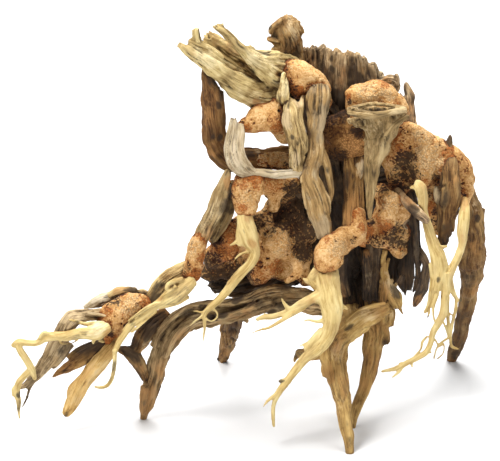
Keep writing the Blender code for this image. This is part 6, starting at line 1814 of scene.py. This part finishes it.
@dataclass(frozen=True)
class OuterArm(SubAssembly):
    """The end of the left arm: roots that run out and down from one mound."""

    arm_block: Wood = Wood(limbs=(
        Limb(((-86.5, 94, 43, 2.4), (-81, 97, 42, 3), (-75, 97.5, 42, 2.9), (-70, 97, 42, 2.6)), depth=0.9,
            crown=0.6),
        Limb(((-69, 96, 43, 2), (-66, 96.5, 43, 2.3), (-63, 95, 43, 1.4)), crown=0.5),
    ), marks=patches(
        dark=((-72, 97, 38, 4, 1),),
        pale=((-65.5, 96, 38, 4, 0.5),),
        rust=((-79, 98, 38, 4, 0.8),),
    ), finish=STRAW_WOOD, cell=0.6)
    grey_upper_arm: Wood = Wood(limbs=(
        Limb(((-102, 87, 42, 1), (-96.5, 89.5, 42, 2.8), (-90.5, 92, 42, 4.2), (-83.5, 93.5, 44, 4.2)),
            depth=0.6),
    ), marks=patches(
        dark=((-87, 94, 38, 3, 0.4),),
        pale=((-94, 91, 38, 6, 0.5),),
    ), wear=SMOOTH_WEAR, finish=PALE_GREY_WOOD)
    grey_knee_root: Wood = Wood(limbs=(
        Limb(((-84.5, 83, 38, 3), (-93, 83, 36, 3.6), (-101.5, 82, 34, 4.2), (-108.5, 80.5, 32, 5.7),
            (-113, 75, 31, 5.4), (-116.5, 67, 31, 5.4), (-121, 59.5, 30, 5.4), (-126.5, 51.5, 30, 4.2),
            (-132, 45, 30, 3), (-137.5, 40, 30, 2), (-143.5, 38.5, 30, 1.1)), depth=0.8),
        Limb(((-100, 83.5, 31, 1.8), (-94, 83, 31, 1.4), (-88, 82, 32, 1))),
        Limb(((-110, 65.5, 33, 3), (-114, 59, 32, 2.6), (-119.5, 52, 31, 1.8)), frayed=(0, 1.6)),
        Limb(((-131.5, 44, 30, 1.6), (-134.5, 38.5, 30, 1.1), (-136.5, 32, 30, 0.9),
            (-139.5, 26.5, 30, 0.5))),
    ), marks=patches(
        dark=((-134, 43, 28, 5, 0.5), (-113.5, 62, 30, 4, 0.6), (-136, 32, 28, 4, 0.8),
              (-144, 39, 28, 2.4, 0.8)),
        pale=((-112, 82, 28, 7, 0.6), (-123, 57, 26, 5, 0.4)),
    ), wear=Wear(lumps=0.6, ridges=0.5, width=3.6, fibres=0.25, cracks=0.9, flakes=0.3), finish=KNEE_WOOD)
    pale_zigzag_root: Wood = Wood(limbs=(
        Limb(((-86.5, 75.5, 28, 3), (-92.5, 73, 25, 5.2), (-98.5, 72, 24, 3.8), (-105, 71.5, 24, 3.2),
            (-112, 70, 24, 3), (-119.5, 70, 23, 2.8), (-125, 69, 23, 2.9), (-129.5, 66, 23, 2),
            (-135.5, 66, 23, 2), (-140.5, 66.5, 23, 2.5), (-144.5, 64, 23, 1.4)), depth=0.7),
        Limb(((-141.5, 65.5, 23, 2), (-139, 60.5, 22, 2.3), (-135.5, 55, 22, 2.3), (-133, 50, 22, 2.4),
            (-131, 44, 22, 1.1))),
        Limb(((-133, 50.5, 22, 2), (-137.5, 46, 21.5, 2), (-141, 41.5, 21, 2), (-142, 36, 21, 2.2),
            (-141, 30.5, 21, 1.6), (-141, 24.5, 21, 1), (-140.5, 20, 21, 0.5))),
        Limb(((-89.5, 77, 28, 2.4), (-95.5, 77.5, 27, 1.7), (-101.5, 77.5, 27, 1.2), (-106, 79, 27, 1),
            (-110.5, 80, 27, 0.5))),
        Limb(((-93.5, 71.5, 25, 2.4), (-95.5, 68.5, 25, 1.7), (-96, 65.5, 25, 0.5))),
        Limb(((-92, 68, 25, 1.6), (-89.5, 66.5, 26, 1))),
        Limb(((-122.5, 71, 23, 1.8), (-125.5, 72, 22, 1.6), (-128, 69, 22, 1.2))),
        Limb(((-116, 68, 24, 1.2), (-115, 65.5, 24, 0.6), (-112, 65.5, 24, 0.5), (-108.5, 66, 24, 0.5),
            (-105, 68, 24, 0.6))),
        Limb(((-142, 40, 21, 1.4), (-144, 38, 21, 1.2), (-144, 34, 21, 1))),
    ), marks=patches(
        dark=((-105.5, 78.5, 24, 1.8, 0.7), (-140.5, 35, 19, 2, 0.9), (-101.5, 72.5, 20, 2, 0.45),
              (-108.5, 68.5, 20, 4, 0.3), (-89.5, 68, 24, 2.4, 0.8), (-141, 28, 20, 4, 0.4)),
        pale=((-93, 76, 20, 6, 0.7),),
        rust=((-138.5, 68, 20, 3, 0.35), (-86.5, 71.5, 24, 3, 0.9)),
    ), wear=SMOOTH_WEAR, finish=CREAM_WOOD, cell=0.5)
    brown_wedge_root: Wood = Wood(limbs=(
        Limb(((-84.5, 68, 40, 3), (-93, 62.5, 38, 3.6), (-101.5, 57, 37, 4.8), (-110, 52, 36, 3.8),
            (-116.5, 48.5, 36, 2.4), (-121, 45, 36, 0.7)), depth=0.7),
        Limb(((-87, 68, 42, 3), (-96.5, 65, 41, 2.4), (-106, 61, 40, 1.8), (-112, 57, 39, 1.2)), depth=0.7),
    ), marks=patches(
        dark=((-95, 65.5, 36, 8, 1), (-105, 61, 34, 5, 0.9), (-112, 47.5, 32, 4, 0.5)),
        rust=((-114.5, 50, 32, 5, 0.9), (-104, 57.5, 30, 4, 0.4), (-87, 63.5, 34, 4, 0.8)),
    ), finish=STEM_WOOD)
    tan_finger_root: Wood = Wood(limbs=(
        Limb(((-81, 69, 34, 3), (-86, 62, 33, 4.4), (-92, 54.5, 33, 4.8), (-98, 47.5, 32, 5),
            (-104, 39, 32, 5), (-108, 32, 32, 4.4), (-111.5, 25, 31, 3.4), (-113, 22, 31, 2.2)),
            depth=0.85),
        Limb(((-105, 44, 32, 1.8), (-110, 38.5, 32, 1.8), (-111.5, 34, 32, 1.1)), frayed=(0, 1)),
    ), marks=patches(
        dark=((-113, 22, 28, 2, 0.8),),
        pale=((-93, 51, 26, 5, 0.3), (-107, 29.5, 26, 5, 0.3)),
        rust=((-111, 37, 26, 3, 0.6), (-100, 48.5, 26, 7, 0.35), (-87, 62.5, 28, 5, 0.4)),
    ), wear=Wear(lumps=0.5, ridges=0.2, width=3.6, fibres=0.15, cracks=0.4, flakes=0.15),
        finish=FINGER_WOOD)
    arm_strut: Wood = Wood(limbs=(
        Limb(((-81.5, 62, 42, 2), (-76, 60.5, 43, 4.2), (-71, 56, 44, 4.8), (-67, 49, 46, 3.6),
            (-65, 42.5, 48, 1.8)), depth=0.6),
        Limb(((-51, 83.5, 50, 4.2), (-58, 79, 48, 6), (-63.5, 74, 46, 6), (-68, 67, 45, 5),
            (-71.5, 61, 45, 3.6)), depth=0.6),
        Limb(((-60.5, 69, 44, 1.4), (-65.5, 65.5, 43, 1.4), (-69.5, 62.5, 43, 1))),
    ), marks=patches(
        dark=((-62, 75, 42, 6, 1), (-74, 62, 38, 7, 0.9), (-57, 81, 44, 5, 0.8)),
        pale=((-65, 66, 40, 4, 0.4),),
        rust=((-53, 83.5, 44, 6, 0.9), (-69.5, 50, 40, 4, 0.5)),
    ), finish=BROWN_WOOD, cell=0.65)
    arm_filler: Mound = Mound(balls=(
        (-86, 81, 38, 6), (-77.5, 86.5, 38, 6), (-69, 89.5, 38, 5.4), (-83.5, 72.5, 38, 4.8)
    ), tongues=(
        Limb(((-62, 92.5, 38, 3.6), (-68.5, 90.5, 37, 6.2), (-75.5, 88, 36, 8.4), (-82, 84, 35, 9.2),
            (-86.5, 77.5, 34, 7.4), (-86, 69, 33, 4.6), (-86, 63.5, 33, 2.8)), depth=0.75, crown=0.7),
        Limb(((-78.5, 75, 33, 3), (-72.5, 80, 33, 3), (-66, 85, 34, 2.4), (-59.5, 89.5, 36, 1.4)),
            depth=0.7),
    ), marks=patches(
        dark=((-86, 71.5, 28, 3, 1), (-84, 92, 32, 6, 0.5)),
        pale=((-74, 88, 28, 9, 0.5),),
        rust=((-86.5, 67, 30, 5, 0.9), (-86.5, 86, 30, 4, 0.8), (-78.5, 82, 26, 3, 0.4),
              (-64, 90.5, 32, 5, 0.6)),
    ), finish=SAWDUST)


@dataclass(frozen=True)
class Studio:
    """The camera at the photograph's angle, the pale floor and the soft lights, in metres.

    Away is how far off the camera stands, wide is how much it takes in, film is the width of its sensor in
    millimetres, and middle is the place on the board that it looks at. Reach is half a side of the floor.
    """

    away: float = 4.5
    wide: float = 0.3
    film: float = 36.0
    middle: Place = (-1.8, 133.5, 45.0)
    reach: float = 6.0
    paint: Colour = (0.72, 0.72, 0.72)
    sky: float = 0.3
    aim: tuple[float, float, float] = (0, 0, 0.12)

    def camera(self) -> None:
        """Sets the camera up on the photograph's line of sight."""
        data = bpy.data.cameras.new("camera")
        data.sensor_width = self.film
        data.lens = self.film * self.away / self.wide
        data.clip_end = self.reach * 5
        thing = linked("camera", data)
        middle = board(np.array([self.middle]))[0] * MM
        thing.location = middle - INTO * self.away
        thing.rotation_euler = (math.radians(90) - LEAN, 0, 0)
        bpy.context.scene.camera = thing

    def floor(self) -> None:
        """Lays a plain pale floor that reaches behind everything in view."""
        data = bpy.data.meshes.new("floor")
        signs = ((-1, -1), (1, -1), (1, 1), (-1, 1))
        data.from_pydata([(x * self.reach, y * self.reach, 0) for x, y in signs], [], [(0, 1, 2, 3)])
        thing = linked("floor", data)
        shader = Shader("floor")
        shader.skin.inputs["Base Color"].default_value = (*self.paint, 1)
        shader.skin.inputs["Roughness"].default_value = 1.0
        shader.skin.inputs["Specular IOR Level"].default_value = 0.0
        data.materials.append(shader.material)

    def light(self, name: str, place: Place, size: float, power: float) -> None:
        """Hangs one square soft light that faces the object.

        Args:
            name: what it is called.
            place: where it hangs, in metres.
            size: the length of its side, in metres.
            power: its power in watts.
        """
        data = bpy.data.lights.new(name, "AREA")
        data.size = size
        data.energy = power
        thing = linked(name, data)
        thing.location = place
        aim = Vector(self.aim) - Vector(place)
        thing.rotation_euler = aim.to_track_quat("-Z", "Y").to_euler()

    def lights(self) -> None:
        """Lights the room evenly, brightest from the upper left front."""
        world = bpy.data.worlds.new("room")
        world.use_nodes = True
        sky = world.node_tree.nodes["Background"]
        sky.inputs["Color"].default_value = (1, 1, 1, 1)
        sky.inputs["Strength"].default_value = self.sky
        bpy.context.scene.world = world
        self.light("key", (-0.8, -0.8, 1.9), 0.8, 50)
        self.light("fill", (1.4, -1.2, 1.0), 1.2, 9)
        self.light("top", (0.2, 0.5, 1.9), 1.2, 50)
        bpy.context.scene.view_settings.view_transform = "Standard"


def main() -> None:
    """Builds and dresses every sub-assembly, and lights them."""
    logging.basicConfig(level=logging.INFO, format="%(name)s %(message)s")
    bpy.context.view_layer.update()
    shop = Workshop()
    groups = [Crown(), Loop(), Middle(), Shoulder(), Belly(), FrontRoots(), Elbow(), OuterArm()]
    for group in groups:
        group.build(shop)
    shop.seams()
    shop.shut_in()
    for group in groups:
        group.dress(shop)
    studio = Studio()
    studio.camera()
    studio.floor()
    studio.lights()


if __name__ == "__main__":
    main()
